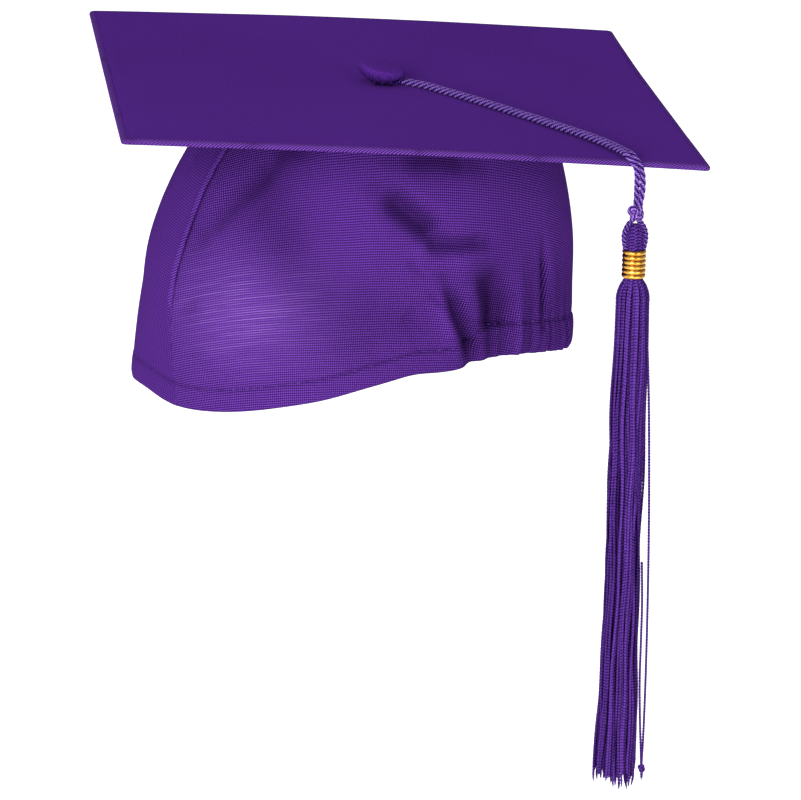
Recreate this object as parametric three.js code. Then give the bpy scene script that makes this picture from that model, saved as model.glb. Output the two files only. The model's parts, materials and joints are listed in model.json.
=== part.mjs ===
// Graduation cap (mortarboard): a cloth-covered board with a covered button, a soft
// skullcap with an elastic back, and a doubled cord that carries a tassel over the edge.
// Millimetres, +Z up. The origin is the centre of the head opening. -Y is the wearer's
// front and +X is the wearer's left. Inside the cap group, z = 0 is the top of the board.
import * as THREE from "three";

// ---- Driving dimensions -------------------------------------------------------------
const BOARD_SIDE = 241.3;
const BOARD_CORNER_RADIUS = 3;
const CLOTH = 0.5;
const CORE_THICKNESS = 1.8;
const LAYER_GAP = 0.1;
const WRAP_WIDTH = 10;
const UNDERSIDE_INSET = 1.5;
const BOARD_ABOVE_OPENING = 120;
const BOARD_BEHIND_OPENING = 5;

const BUTTON_Y = -1.2;
const BUTTON_RADIUS = 9.5;
const BUTTON_BOTTOM = 2.9;
const BUTTON_TOP = 7.6;
const SHELL_WALL = 0.6;
const RIM_SHARE = 0.92;
const SHANK_RADIUS = 1.9;
const RIVET_HOLE_RADIUS = 2.3;
const RIVET_HEAD_RADIUS = 4;
const WASHER_RADIUS = 8;

const PANEL_THICKNESS = 1;
const FRONT_REACH = { top: 66.3, full: 100.8, depth: 138, power: 2.15 };
const BACK_REACH = { top: 68.2, full: 90.6, depth: 112, power: 2.46 };
const SIDE_REACH = { top: 54, full: 78, depth: 110, power: 2.2 };
const HEM_WAVES = [118.2, 17.4, 5.7, -4.5];
const SEAM_GAP_DEGREES = 0.12;
const LINING_GAP = 0.5;
const HEM_WIDTH = 10;
const ALLOWANCE_DEGREES = 3.5;
const ELASTIC_START = 117;
const CASING_WIDTH = 14;
const ELASTIC_WIDTH = 8;

const CORD_RADIUS = 1.3;
const CORD_SPACING = 1.4;
const CORD_CLEARANCE = 0.15;
const CORD_GAP = 0.9;
const CORD_BOW = 3.6;
// Middle line of the doubled cord on the board, from the button to the board's edge.
const CORD_ROUTE = [
  [0.8, 8.5], [7.1, 17.2], [17.2, 25.6], [26.8, 33.2], [38.1, 41.2], [50.1, 49.4], [62.6, 58],
  [74.6, 65.5], [84.6, 72], [96.3, 78.3], [104, 81.8], [112.4, 84.9], [120.1, 86.9],
];
const DROP_TOP = [89.4, -0.6];
const DROP_BOTTOM = [90.9, -16.6];

const TASSEL_LEAN_DEGREES = 3.1;
const KNOT_AT = [90.9, -21];
const KNOT_RADIUS = 3.4;
const KNOT_HEIGHT = 7;
const EYE_RADIUS = 0.9;
const EYE_SPREAD = 4.55;
const HEAD_RADIUS = 3.5;
const HEAD_TOP = -5.7;
const HEAD_BOTTOM = -14.9;
const BARREL_TOP = -15.2;
const BARREL_BOTTOM = -27;
const BARREL_RADIUS = 4.5;
const BARREL_BORE = 3.95;
const RIB_HEIGHT = 0.35;
const RIBS = 6;
const SKIRT_TOP = -15.5;
const SKIRT_BOTTOM = -250.5;
const BUNDLES = 6;
const LOOSE_RADIUS = 0.5;

// ---- Finishes -----------------------------------------------------------------------
const finish = (color, roughness, metalness = 0) => new THREE.MeshStandardMaterial({ color, roughness, metalness });
const boardCloth = finish("#4b1f7d", 0.75);
const crownCloth = finish("#5d2f9f", 0.7);
const cordThread = finish("#7f58c4", 0.55);
const tasselThread = finish("#4f2299", 0.5);
const gilt = finish("#c8912a", 0.3, 1);
const steel = finish("#9a9ca0", 0.4, 1);
const greyBoard = finish("#8a8378", 0.9);
const elasticWeb = finish("#e4e2dc", 0.8);

// ---- Solid building -----------------------------------------------------------------
function closedSolid(points, triangles) {
  const geometry = new THREE.BufferGeometry();
  geometry.setAttribute("position", new THREE.Float32BufferAttribute(points.flatMap((p) => p.toArray()), 3));
  const volume = triangles.reduce((sum, [a, b, c]) => sum + points[a].dot(points[b].clone().cross(points[c])), 0);
  const outward = volume > 0 ? triangles : triangles.map(([a, b, c]) => [a, c, b]);
  geometry.setIndex(outward.flat());
  return geometry;
}

// A grid of points joined to the next row, each row closed into a ring when asked.
function gridTriangles(rows, columns, wrapRows, wrapColumns) {
  const triangles = [];
  for (let i = 0; i < (wrapRows ? rows : rows - 1); i++) {
    for (let j = 0; j < (wrapColumns ? columns : columns - 1); j++) {
      const a = i * columns + j;
      const b = i * columns + ((j + 1) % columns);
      const c = ((i + 1) % rows) * columns + j;
      const d = ((i + 1) % rows) * columns + ((j + 1) % columns);
      triangles.push([a, b, c], [b, d, c]);
    }
  }
  return triangles;
}

// A body through a stack of rings, closed with a fan at each end.
function loft(rings) {
  const sides = rings[0].length;
  const points = rings.flat();
  const triangles = gridTriangles(rings.length, sides, false, true);
  for (const [first, reversed] of [[0, true], [(rings.length - 1) * sides, false]]) {
    const ring = points.slice(first, first + sides);
    const middle = points.length;
    points.push(ring.reduce((sum, p) => sum.add(p), new THREE.Vector3()).divideScalar(sides));
    for (let j = 0; j < sides; j++) {
      const pair = [first + j, first + ((j + 1) % sides)];
      triangles.push(reversed ? [middle, pair[1], pair[0]] : [middle, pair[0], pair[1]]);
    }
  }
  return closedSolid(points, triangles);
}

const levelRing = (x, y, z, radius, sides) =>
  Array.from({ length: sides }, (_, j) => {
    const angle = (2 * Math.PI * j) / sides;
    return new THREE.Vector3(x + radius * Math.cos(angle), y + radius * Math.sin(angle), z);
  });

// A solid of revolution about Z from a closed [radius, height] outline.
function turned(outline, sides = 24) {
  const profile = [...outline, outline[0]].map(([r, z]) => new THREE.Vector2(r, z));
  if (THREE.ShapeUtils.area(profile) < 0) profile.reverse();
  return new THREE.LatheGeometry(profile, sides).rotateX(Math.PI / 2);
}

function tube(route, radius, steps) {
  const section = new THREE.Shape(levelRing(0, 0, 0, radius, 8).map((p) => new THREE.Vector2(p.x, p.y)));
  const extrudePath = new THREE.CatmullRomCurve3(route);
  return new THREE.ExtrudeGeometry(section, { steps, extrudePath, bevelEnabled: false });
}

// ---- Board --------------------------------------------------------------------------
const SIDE_STEPS = 4;
const CORNER_STEPS = 2;
const HOLE_ZONE = 12;
const SQUARE_ZONE = 60;

// Unit directions round the board, evenly along each side and round each corner.
function squareOutline(halfWidth) {
  const inner = halfWidth - BOARD_CORNER_RADIUS;
  const points = [];
  for (let side = 0; side < 4; side++) {
    const turn = (side * Math.PI) / 2;
    const place = (x, y) => points.push(new THREE.Vector2(x, y).rotateAround(new THREE.Vector2(), turn));
    for (let i = 0; i < SIDE_STEPS; i++) place(halfWidth, -inner + (2 * inner * i) / SIDE_STEPS);
    for (let i = 0; i < CORNER_STEPS; i++) {
      const angle = (i / CORNER_STEPS) * (Math.PI / 2);
      place(inner + BOARD_CORNER_RADIUS * Math.cos(angle), inner + BOARD_CORNER_RADIUS * Math.sin(angle));
    }
  }
  return points;
}

// A plate or tray whose outline is round at the rivet hole and square at the rim.
function squareTurned(outline) {
  const directions = squareOutline(BOARD_SIDE / 2).map((p) => p.divideScalar(BOARD_SIDE / 2));
  const rows = outline.map(([reach, z]) => {
    const square = THREE.MathUtils.smoothstep(reach, HOLE_ZONE, SQUARE_ZONE);
    const centreY = BUTTON_Y * (1 - square);
    return directions.map((d) => {
      const round = 1 / d.length();
      const scale = reach * THREE.MathUtils.lerp(round, 1, square);
      return new THREE.Vector3(d.x * scale, d.y * scale + centreY, z);
    });
  });
  return closedSolid(rows.flat(), gridTriangles(rows.length, rows[0].length, true, true));
}

const flatPlate = (reach, top, bottom) => {
  const steps = [RIVET_HOLE_RADIUS, HOLE_ZONE, SQUARE_ZONE, reach];
  return squareTurned([...steps.map((r) => [r, top]), ...steps.toReversed().map((r) => [r, bottom])]);
};

const rim = BOARD_SIDE / 2;
const coreTop = -CLOTH - LAYER_GAP;
const coreBottom = coreTop - CORE_THICKNESS;
const wrapTop = coreBottom - LAYER_GAP;
const wrapBottom = wrapTop - CLOTH;
const undersideTop = wrapBottom - LAYER_GAP;
const boardBottom = undersideTop - CLOTH;

function boardTopCover() {
  const faceSteps = [RIVET_HOLE_RADIUS, HOLE_ZONE, SQUARE_ZONE];
  return squareTurned([
    ...faceSteps.map((r) => [r, 0]),
    [rim, 0],
    [rim, wrapBottom],
    [rim - WRAP_WIDTH, wrapBottom],
    [rim - WRAP_WIDTH, wrapTop],
    [rim - CLOTH, wrapTop],
    [rim - CLOTH, -CLOTH],
    ...faceSteps.toReversed().map((r) => [r, -CLOTH]),
  ]);
}

// ---- Button -------------------------------------------------------------------------
const shellRadius = BUTTON_RADIUS - CLOTH - LAYER_GAP;
const shellTop = BUTTON_TOP - CLOTH - LAYER_GAP;
const shellBottom = BUTTON_BOTTOM + CLOTH + LAYER_GAP;
const backPlateRadius = (shellRadius - SHELL_WALL) * RIM_SHARE - 0.2;
const backPlateTop = shellBottom + 0.7;

// One wall of the button: a flat-topped dome whose side bulges out above its rim.
const domeSide = (radius, top, bottom) => [
  [0, top],
  [radius * 0.55, top - 0.15],
  [radius * 0.85, top - 0.6],
  [radius * 0.97, top - 1.3],
  [radius, top - 2],
  [radius * 0.98, bottom + 1.2],
  [radius * RIM_SHARE, bottom],
];

function buttonShell() {
  const outside = domeSide(shellRadius, shellTop, shellBottom);
  const inside = domeSide(shellRadius - SHELL_WALL, shellTop - SHELL_WALL, shellBottom);
  return turned([...outside, ...inside.toReversed()]);
}

function buttonCloth() {
  const outside = domeSide(BUTTON_RADIUS, BUTTON_TOP, BUTTON_BOTTOM);
  const inside = domeSide(BUTTON_RADIUS - CLOTH, BUTTON_TOP - CLOTH, BUTTON_BOTTOM + CLOTH);
  const tuck = BUTTON_RADIUS * 0.6;
  return turned([...outside, [tuck, BUTTON_BOTTOM], [tuck, BUTTON_BOTTOM + CLOTH], ...inside.toReversed()]);
}

const plate = (inner, outer, top, bottom) => turned([[inner, top], [outer, top], [outer, bottom], [inner, bottom]]);

const rivetSeat = boardBottom - 1.2;
function buttonRivet() {
  const headBottom = backPlateTop + LAYER_GAP;
  const headTop = headBottom + 0.6;
  const footTop = rivetSeat - LAYER_GAP;
  const footBottom = footTop - 0.8;
  return turned([
    [0, headTop], [RIVET_HEAD_RADIUS, headTop], [RIVET_HEAD_RADIUS, headBottom], [SHANK_RADIUS, headBottom],
    [SHANK_RADIUS, footTop], [RIVET_HEAD_RADIUS, footTop], [RIVET_HEAD_RADIUS, footBottom], [0, footBottom],
  ]);
}

// ---- Crown --------------------------------------------------------------------------
const reachAt = ({ top, full, depth, power }, below) =>
  full - (full - top) * Math.max(0, 1 - below / depth) ** power;

// Depth of the bottom edge below the board's top: deep in front, high over the ears.
const hemDepth = (degrees) =>
  HEM_WAVES.reduce((sum, wave, k) => sum + wave * Math.cos(k * THREE.MathUtils.degToRad(degrees)), 0);

// Angle of the front seams from the wearer's centre front, bowed forward at mid height.
const seamAngle = (below) => 25 + 8 * ((below - 70) / 65) ** 2;

// A point of the crown at an angle from the front, a depth, and an inset from outside.
function crownPoint(degrees, below, inset) {
  const angle = THREE.MathUtils.degToRad(degrees);
  const front = reachAt(FRONT_REACH, below) - inset;
  const back = reachAt(BACK_REACH, below) - inset;
  const width = reachAt(SIDE_REACH, below) - inset;
  const middle = (back - front) / 2;
  const half = (back + front) / 2;
  return new THREE.Vector3(width * Math.sin(angle), middle - half * Math.cos(angle), -below);
}

// A closed piece of cloth between two angles and two depths, both given as functions.
function clothPiece({ from, to, above, below, inset, thickness, across, down }) {
  const layer = (depthInset) => {
    const points = [];
    for (let i = 0; i <= down; i++) {
      for (let j = 0; j <= across; j++) {
        const share = j / across;
        let depth = 70;
        let degrees = 0;
        for (let pass = 0; pass < 6; pass++) {
          degrees = THREE.MathUtils.lerp(from(depth), to(depth), share);
          depth = THREE.MathUtils.lerp(above(degrees), below(degrees), i / down);
        }
        points.push(crownPoint(degrees, depth, depthInset));
      }
    }
    return points;
  };
  const columns = across + 1;
  const size = (down + 1) * columns;
  const points = [...layer(inset), ...layer(inset + thickness)];
  const face = gridTriangles(down + 1, columns, false, false);
  const triangles = [...face, ...face.map(([a, b, c]) => [a + size, c + size, b + size])];
  const border = [];
  for (let j = 0; j < across; j++) border.push(j);
  for (let i = 0; i < down; i++) border.push(i * columns + across);
  for (let j = across; j > 0; j--) border.push(down * columns + j);
  for (let i = down; i > 0; i--) border.push(i * columns);
  border.forEach((a, k) => {
    const b = border[(k + 1) % border.length];
    triangles.push([b, a, a + size], [b, a + size, b + size]);
  });
  return closedSolid(points, triangles);
}

const crownTop = -boardBottom + 0.2;
const constant = (value) => () => value;
const hemAt = (raise) => (degrees) => hemDepth(degrees) - raise;
const pastSeam = (side, extra) => (below) => side * (seamAngle(below) + extra);
const liningInset = PANEL_THICKNESS + LINING_GAP;
const LINING = 0.8;

const frontPanel = () => clothPiece({
  from: pastSeam(-1, -SEAM_GAP_DEGREES), to: pastSeam(1, -SEAM_GAP_DEGREES),
  above: constant(crownTop), below: hemAt(0), inset: 0, thickness: PANEL_THICKNESS, across: 8, down: 9,
});

const sidePanel = (side) => clothPiece({
  from: pastSeam(side, SEAM_GAP_DEGREES), to: constant(side * (180 - SEAM_GAP_DEGREES)),
  above: constant(crownTop), below: hemAt(0), inset: 0, thickness: PANEL_THICKNESS, across: 20, down: 9,
});

const frontHem = () => clothPiece({
  from: pastSeam(-1, -ALLOWANCE_DEGREES - 0.5), to: pastSeam(1, -ALLOWANCE_DEGREES - 0.5),
  above: hemAt(HEM_WIDTH), below: hemAt(0.3), inset: liningInset, thickness: LINING, across: 8, down: 1,
});

const sideHem = (side) => clothPiece({
  from: pastSeam(side, ALLOWANCE_DEGREES + 0.5), to: constant(side * (ELASTIC_START - 0.5)),
  above: hemAt(HEM_WIDTH), below: hemAt(0.3), inset: liningInset, thickness: LINING, across: 16, down: 1,
});

const seamAllowance = (side) => clothPiece({
  from: pastSeam(side, -ALLOWANCE_DEGREES), to: pastSeam(side, ALLOWANCE_DEGREES),
  above: constant(crownTop + 4), below: hemAt(0.5), inset: liningInset, thickness: LINING, across: 2, down: 9,
});

const backSeamAllowance = () => clothPiece({
  from: constant(180 - ALLOWANCE_DEGREES), to: constant(180 + ALLOWANCE_DEGREES),
  above: constant(crownTop + 4), below: hemAt(CASING_WIDTH + 1), inset: liningInset, thickness: LINING,
  across: 2, down: 9,
});

const elasticBand = () => clothPiece({
  from: constant(ELASTIC_START + 1), to: constant(360 - ELASTIC_START - 1),
  above: hemAt((CASING_WIDTH + ELASTIC_WIDTH) / 2), below: hemAt((CASING_WIDTH - ELASTIC_WIDTH) / 2),
  inset: liningInset + 0.1, thickness: 1, across: 20, down: 1,
});

const elasticCasing = () => clothPiece({
  from: constant(ELASTIC_START), to: constant(360 - ELASTIC_START),
  above: hemAt(CASING_WIDTH), below: hemAt(0.3), inset: liningInset + 1.6, thickness: LINING, across: 20, down: 1,
});

function crownTopLining() {
  const top = rivetSeat - 1.3;
  const rings = [top, top - 0.8].map((z) =>
    Array.from({ length: 40 }, (_, j) => crownPoint(j * 9, -z, PANEL_THICKNESS + 2.4).setZ(z)),
  );
  return loft(rings);
}

// ---- Cord ---------------------------------------------------------------------------
const cordHeight = CORD_RADIUS + CORD_CLEARANCE;
const routeCurve = new THREE.CatmullRomCurve3(CORD_ROUTE.map(([x, y]) => new THREE.Vector3(x, y, cordHeight)));

// A point of one leg, beside the middle line and square to it.
function legPoint(side, share) {
  const tangent = routeCurve.getTangentAt(share);
  const sideways = new THREE.Vector3(tangent.y, -tangent.x, 0).normalize();
  return routeCurve.getPointAt(share).addScaledVector(sideways, side * CORD_SPACING);
}

const boardLeg = (side) => tube(Array.from({ length: 31 }, (_, i) => legPoint(side, i / 30)), CORD_RADIUS, 44);

// The bight of the doubled cord round the rivet shank, open towards the two legs.
function cordLoop() {
  const inward = routeCurve.getTangentAt(0).negate();
  const ends = [1, -1].map((side) => legPoint(side, 0).addScaledVector(inward, CORD_GAP));
  const heading = Math.atan2(-inward.y, -inward.x);
  const bend = [];
  for (let degrees = -75; degrees >= -285; degrees -= 30) {
    const angle = heading + THREE.MathUtils.degToRad(degrees);
    bend.push(new THREE.Vector3(CORD_BOW * Math.cos(angle), BUTTON_Y + CORD_BOW * Math.sin(angle), cordHeight));
  }
  return tube([ends[0], ...bend, ends[1]], CORD_RADIUS, 22);
}

const dropX = rim + CORD_CLEARANCE + CORD_RADIUS;
function dropLeg(side) {
  const steps = 8;
  const rings = Array.from({ length: steps + 1 }, (_, i) => {
    const y = THREE.MathUtils.lerp(DROP_TOP[0], DROP_BOTTOM[0], i / steps);
    const z = THREE.MathUtils.lerp(DROP_TOP[1], DROP_BOTTOM[1], i / steps);
    return levelRing(dropX, y + side * CORD_SPACING, z, CORD_RADIUS, 8);
  });
  return loft(rings);
}

// ---- Tassel, drawn hanging straight down from the knot's centre ----------------------
function knot() {
  const steps = 8;
  const rings = Array.from({ length: steps - 1 }, (_, i) => {
    const angle = (Math.PI * (i + 1)) / steps;
    return levelRing(0, 0, (KNOT_HEIGHT / 2) * Math.cos(angle), KNOT_RADIUS * Math.sin(angle), 12);
  });
  return loft(rings);
}

function tasselEye() {
  const crest = HEAD_TOP + 0.2 + EYE_RADIUS;
  const route = [];
  for (let degrees = 0; degrees <= 180; degrees += 20) {
    const angle = THREE.MathUtils.degToRad(degrees);
    route.push(new THREE.Vector3(0, EYE_SPREAD * Math.cos(angle), crest - EYE_SPREAD * (1 - Math.sin(angle))));
  }
  const foot = (side) => new THREE.Vector3(0, side * EYE_SPREAD, HEAD_BOTTOM + 0.1);
  return tube([foot(1), ...route, foot(-1)], EYE_RADIUS, 24);
}

function tasselHead() {
  const shoulder = HEAD_RADIUS;
  const outline = [[0, HEAD_TOP]];
  for (let degrees = 15; degrees <= 90; degrees += 15) {
    const angle = THREE.MathUtils.degToRad(degrees);
    outline.push([HEAD_RADIUS * Math.sin(angle), HEAD_TOP - shoulder * (1 - Math.cos(angle))]);
  }
  return turned([...outline, [HEAD_RADIUS, HEAD_BOTTOM + 1], [HEAD_RADIUS - 0.6, HEAD_BOTTOM], [0, HEAD_BOTTOM]], 16);
}

function tasselBarrel() {
  const pitch = (BARREL_TOP - BARREL_BOTTOM) / RIBS;
  const outline = [[BARREL_BORE, BARREL_TOP]];
  for (let rib = 0; rib < RIBS; rib++) {
    const top = BARREL_TOP - rib * pitch;
    outline.push([BARREL_RADIUS, top], [BARREL_RADIUS + RIB_HEIGHT, top - pitch * 0.3]);
    outline.push([BARREL_RADIUS + RIB_HEIGHT, top - pitch * 0.7]);
  }
  return turned([...outline, [BARREL_RADIUS, BARREL_BOTTOM], [BARREL_BORE, BARREL_BOTTOM]], 20);
}

// A bundle of skirt strands: slim inside the barrel, then full and slightly spread.
function skirtBundle(index) {
  const bearing = (2 * Math.PI * index) / BUNDLES;
  const outer = index < BUNDLES ? 1 : 0;
  const stations = [
    [SKIRT_TOP, 2.5, 1.15], [BARREL_BOTTOM - 0.5, 2.5, 1.15], [BARREL_BOTTOM - 6, 4.3, 2.05],
    [BARREL_BOTTOM - 40, 4.7, 2.25], [-150, 5, 2.4], [SKIRT_BOTTOM + 40, 5.4, 2.6],
    [SKIRT_BOTTOM + (index % 3) * 3, 5.8, 2.75],
  ];
  return loft(stations.map(([z, spread, radius]) =>
    levelRing(outer * spread * Math.cos(bearing), outer * spread * Math.sin(bearing), z, radius, 10)));
}

const looseStrand = (route) => loft(route.map(([x, y, z]) => levelRing(x, y, z, LOOSE_RADIUS, 8)));
const LOOSE_FRONT = [[3, 8.6, -60], [2, 10, -100], [1.5, 10.6, -150], [1.2, 11, -200], [1, 11.3, -242]];
const LOOSE_BACK = [[5.5, 8.9, -165], [4.2, 9.3, -190], [3, 9.9, -220], [2.3, 10.6, -242]];
const looseKnot = () => loft([-242.5, -243.4, -245.4, -246.3].map((z, i) => levelRing(1.6, 11, z, [0.8, 1.5, 1.5, 0.8][i], 8)));

// ---- Assembly -----------------------------------------------------------------------
function mesh(name, geometry, material) {
  const made = new THREE.Mesh(geometry, material);
  made.name = name;
  return made;
}

const cap = new THREE.Group();
cap.position.set(0, BOARD_BEHIND_OPENING, BOARD_ABOVE_OPENING);
cap.add(
  mesh("board_top_cover", boardTopCover(), boardCloth),
  mesh("board_core", flatPlate(rim - CLOTH - LAYER_GAP, coreTop, coreBottom), greyBoard),
  mesh("board_underside_cover", flatPlate(rim - UNDERSIDE_INSET, undersideTop, boardBottom), boardCloth),
  mesh("crown_front_panel", frontPanel(), crownCloth),
  mesh("crown_left_panel", sidePanel(1), crownCloth),
  mesh("crown_right_panel", sidePanel(-1), crownCloth),
  mesh("crown_top_lining", crownTopLining(), crownCloth),
  mesh("front_hem", frontHem(), crownCloth),
  mesh("left_hem", sideHem(1), crownCloth),
  mesh("right_hem", sideHem(-1), crownCloth),
  mesh("seam_allowance_left", seamAllowance(1), crownCloth),
  mesh("seam_allowance_right", seamAllowance(-1), crownCloth),
  mesh("seam_allowance_back", backSeamAllowance(), crownCloth),
  mesh("elastic_band", elasticBand(), elasticWeb),
  mesh("elastic_casing", elasticCasing(), crownCloth),
  mesh("cord_loop", cordLoop(), cordThread),
  mesh("board_cord_1", boardLeg(1), cordThread),
  mesh("board_cord_2", boardLeg(-1), cordThread),
  mesh("drop_cord_1", dropLeg(1), cordThread),
  mesh("drop_cord_2", dropLeg(-1), cordThread),
);

const button = new THREE.Group();
button.position.set(0, BUTTON_Y, 0);
button.add(
  mesh("button_cloth", buttonCloth(), boardCloth),
  mesh("button_shell", buttonShell(), steel),
  mesh("button_back", plate(RIVET_HOLE_RADIUS, backPlateRadius, backPlateTop, shellBottom), steel),
  mesh("button_rivet", buttonRivet(), steel),
  mesh("rivet_washer", plate(RIVET_HOLE_RADIUS, WASHER_RADIUS, boardBottom - 0.2, rivetSeat), steel),
);

const tassel = new THREE.Group();
tassel.position.set(dropX, KNOT_AT[0], KNOT_AT[1]);
tassel.rotation.x = THREE.MathUtils.degToRad(TASSEL_LEAN_DEGREES);
tassel.add(
  mesh("cord_knot", knot(), cordThread),
  mesh("tassel_eye", tasselEye(), cordThread),
  mesh("tassel_head", tasselHead(), tasselThread),
  mesh("tassel_barrel", tasselBarrel(), gilt),
  mesh("loose_strand_1", looseStrand(LOOSE_FRONT), tasselThread),
  mesh("loose_strand_2", looseStrand(LOOSE_BACK), tasselThread),
  mesh("loose_strand_knot", looseKnot(), tasselThread),
);
for (let index = 0; index <= BUNDLES; index++) {
  tassel.add(mesh(`skirt_bundle_${index + 1}`, skirtBundle(index), tasselThread));
}

cap.add(button, tassel);
const graduationCap = new THREE.Group();
graduationCap.add(cap);
export default graduationCap;
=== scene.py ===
"""Graduation cap: the looks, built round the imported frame. Metres, +Z up, +X wearer's left.

Sizes written in millimetres become metres through MM or on_board().
"""

import json
import math
import random

import bpy
import numpy as np
from mathutils import Matrix, Vector


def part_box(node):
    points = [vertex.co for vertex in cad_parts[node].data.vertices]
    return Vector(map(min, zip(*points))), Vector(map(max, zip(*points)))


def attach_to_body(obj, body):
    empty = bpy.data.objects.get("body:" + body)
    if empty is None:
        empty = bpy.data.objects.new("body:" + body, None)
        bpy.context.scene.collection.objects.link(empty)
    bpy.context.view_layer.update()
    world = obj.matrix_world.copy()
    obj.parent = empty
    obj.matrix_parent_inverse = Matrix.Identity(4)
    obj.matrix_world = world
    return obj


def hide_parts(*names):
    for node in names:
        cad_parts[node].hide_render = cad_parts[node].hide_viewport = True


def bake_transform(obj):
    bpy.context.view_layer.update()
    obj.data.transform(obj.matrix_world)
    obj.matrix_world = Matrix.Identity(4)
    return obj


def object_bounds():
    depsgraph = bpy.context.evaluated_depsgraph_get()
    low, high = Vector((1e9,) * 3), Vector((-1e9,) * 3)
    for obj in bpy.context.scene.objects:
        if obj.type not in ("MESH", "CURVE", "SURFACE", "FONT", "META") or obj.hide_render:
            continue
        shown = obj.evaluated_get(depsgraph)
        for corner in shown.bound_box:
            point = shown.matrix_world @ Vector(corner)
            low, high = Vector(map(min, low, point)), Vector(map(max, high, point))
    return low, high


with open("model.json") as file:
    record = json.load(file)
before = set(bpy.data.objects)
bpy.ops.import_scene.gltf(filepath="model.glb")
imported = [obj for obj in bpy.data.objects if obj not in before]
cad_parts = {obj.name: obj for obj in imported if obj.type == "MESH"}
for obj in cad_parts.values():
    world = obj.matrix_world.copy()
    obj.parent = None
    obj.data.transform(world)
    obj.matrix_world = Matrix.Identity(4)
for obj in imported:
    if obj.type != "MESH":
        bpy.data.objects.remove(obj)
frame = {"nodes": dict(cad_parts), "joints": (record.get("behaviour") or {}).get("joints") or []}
CAD_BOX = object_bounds()
MM = 0.001

# ---- Places taken from the frame ---------------------------------------------------
COVER_LOW, COVER_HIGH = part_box("board_top_cover")
BOARD = Vector(((COVER_LOW.x + COVER_HIGH.x) / 2, (COVER_LOW.y + COVER_HIGH.y) / 2, COVER_HIGH.z))
HALF_SIDE = (COVER_HIGH.x - COVER_LOW.x) / 2
BOARD_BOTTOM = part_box("board_underside_cover")[0].z
BUTTON_LOW, BUTTON_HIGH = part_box("button_cloth")
BUTTON = Vector(((BUTTON_LOW.x + BUTTON_HIGH.x) / 2, (BUTTON_LOW.y + BUTTON_HIGH.y) / 2, BUTTON_LOW.z))
JOINTS = {joint["name"]: joint for joint in frame["joints"]}
KNOT = Vector(JOINTS["tassel_spin"]["pos_m"])
TASSEL_UP = Vector(JOINTS["tassel_spin"]["axis"]).normalized()


def on_board(x, y, z=0.0):
    """A point given in millimetres from the centre of the board's top."""
    return BOARD + Vector((x, y, z)) * MM


# ---- Camera ------------------------------------------------------------------------
VIEW_AZIMUTH = 81.66
VIEW_ELEVATION = 17.24
VIEW_ROLL = 4.47
VIEW_DISTANCE = 1.8456
VIEW_AIM = (0.0071, -0.1366)
LENS = 192.4


def add_camera():
    azimuth = math.radians(VIEW_AZIMUTH)
    elevation = math.radians(VIEW_ELEVATION)
    back = Vector((
        math.sin(azimuth) * math.cos(elevation),
        -math.cos(azimuth) * math.cos(elevation),
        math.sin(elevation),
    ))
    level = Vector((math.cos(azimuth), math.sin(azimuth), 0))
    upright = back.cross(level)
    roll = math.radians(VIEW_ROLL)
    right = level * math.cos(roll) + upright * math.sin(roll)
    up = upright * math.cos(roll) - level * math.sin(roll)
    place = BOARD + right * VIEW_AIM[0] + up * VIEW_AIM[1] + back * VIEW_DISTANCE
    data = bpy.data.cameras.new("camera")
    data.lens = LENS
    data.sensor_width = 36
    data.clip_end = 100
    camera = bpy.data.objects.new("camera", data)
    turn = Matrix((right, up, back)).transposed().to_4x4()
    camera.matrix_world = Matrix.Translation(place) @ turn
    bpy.context.scene.collection.objects.link(camera)
    bpy.context.scene.camera = camera


# ---- Mesh helpers ------------------------------------------------------------------
CURVE_STEPS = 16  # fine points between two given points of a smooth line
PLIES = 3
PLY_SIDES = 8
PLY_SHARE = 0.475  # a ply's radius as a share of its cord's
TIP_SHARE = 0.35  # the radius at a tapered tube's tip, as a share of its full radius
PLY_PAINTED_SHADE = 0.5  # painted light: how much lighter a ply's outer side is painted than the shaded groove beside it


def add_layer(made, name, values):
    """Stores one number per point for the materials to read."""
    layer = made.data.attributes.new(name, "FLOAT", "POINT")
    layer.data.foreach_set("value", np.asarray(values, np.float32).ravel())


def attach(made, body, slot, *nodes):
    """Puts a piece on its body, in place of the CAD nodes it stands for; slot is not used."""
    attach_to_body(made, body)
    if nodes:
        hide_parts(*nodes)


def new_mesh(name, points, faces, material, cloth, tone_and_shade=None):
    """A smooth mesh object. cloth is a per-point weave or strand coordinate in millimetres."""
    data = bpy.data.meshes.new(name)
    data.from_pydata([tuple(p) for p in points], [], faces)
    data.polygons.foreach_set("use_smooth", [True] * len(faces))
    layer = data.attributes.new("cloth", "FLOAT_VECTOR", "POINT")
    layer.data.foreach_set("vector", np.asarray(cloth, np.float32).ravel())
    data.materials.append(material)
    made = bpy.data.objects.new(name, data)
    if tone_and_shade is not None:
        add_layer(made, "tone_and_shade", tone_and_shade)
    bpy.context.scene.collection.objects.link(made)
    return made


def grid_faces(rows, columns, start=0, wrap=False, flip=False):
    """Quads over rows by columns of points; wrap closes each row into a ring."""
    faces = []
    for i in range(rows - 1):
        for j in range(columns if wrap else columns - 1):
            a = start + i * columns + j
            b = start + i * columns + (j + 1) % columns
            quad = (a, b, b + columns, a + columns)
            faces.append(quad[::-1] if flip else quad)
    return faces


def loop_faces(rows, columns):
    """Quads over rings of points, the last ring joined to the first."""
    last = (rows - 1) * columns
    faces = grid_faces(rows, columns, wrap=True)
    return faces + [(last + j, last + (j + 1) % columns, (j + 1) % columns, j) for j in range(columns)]


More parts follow.
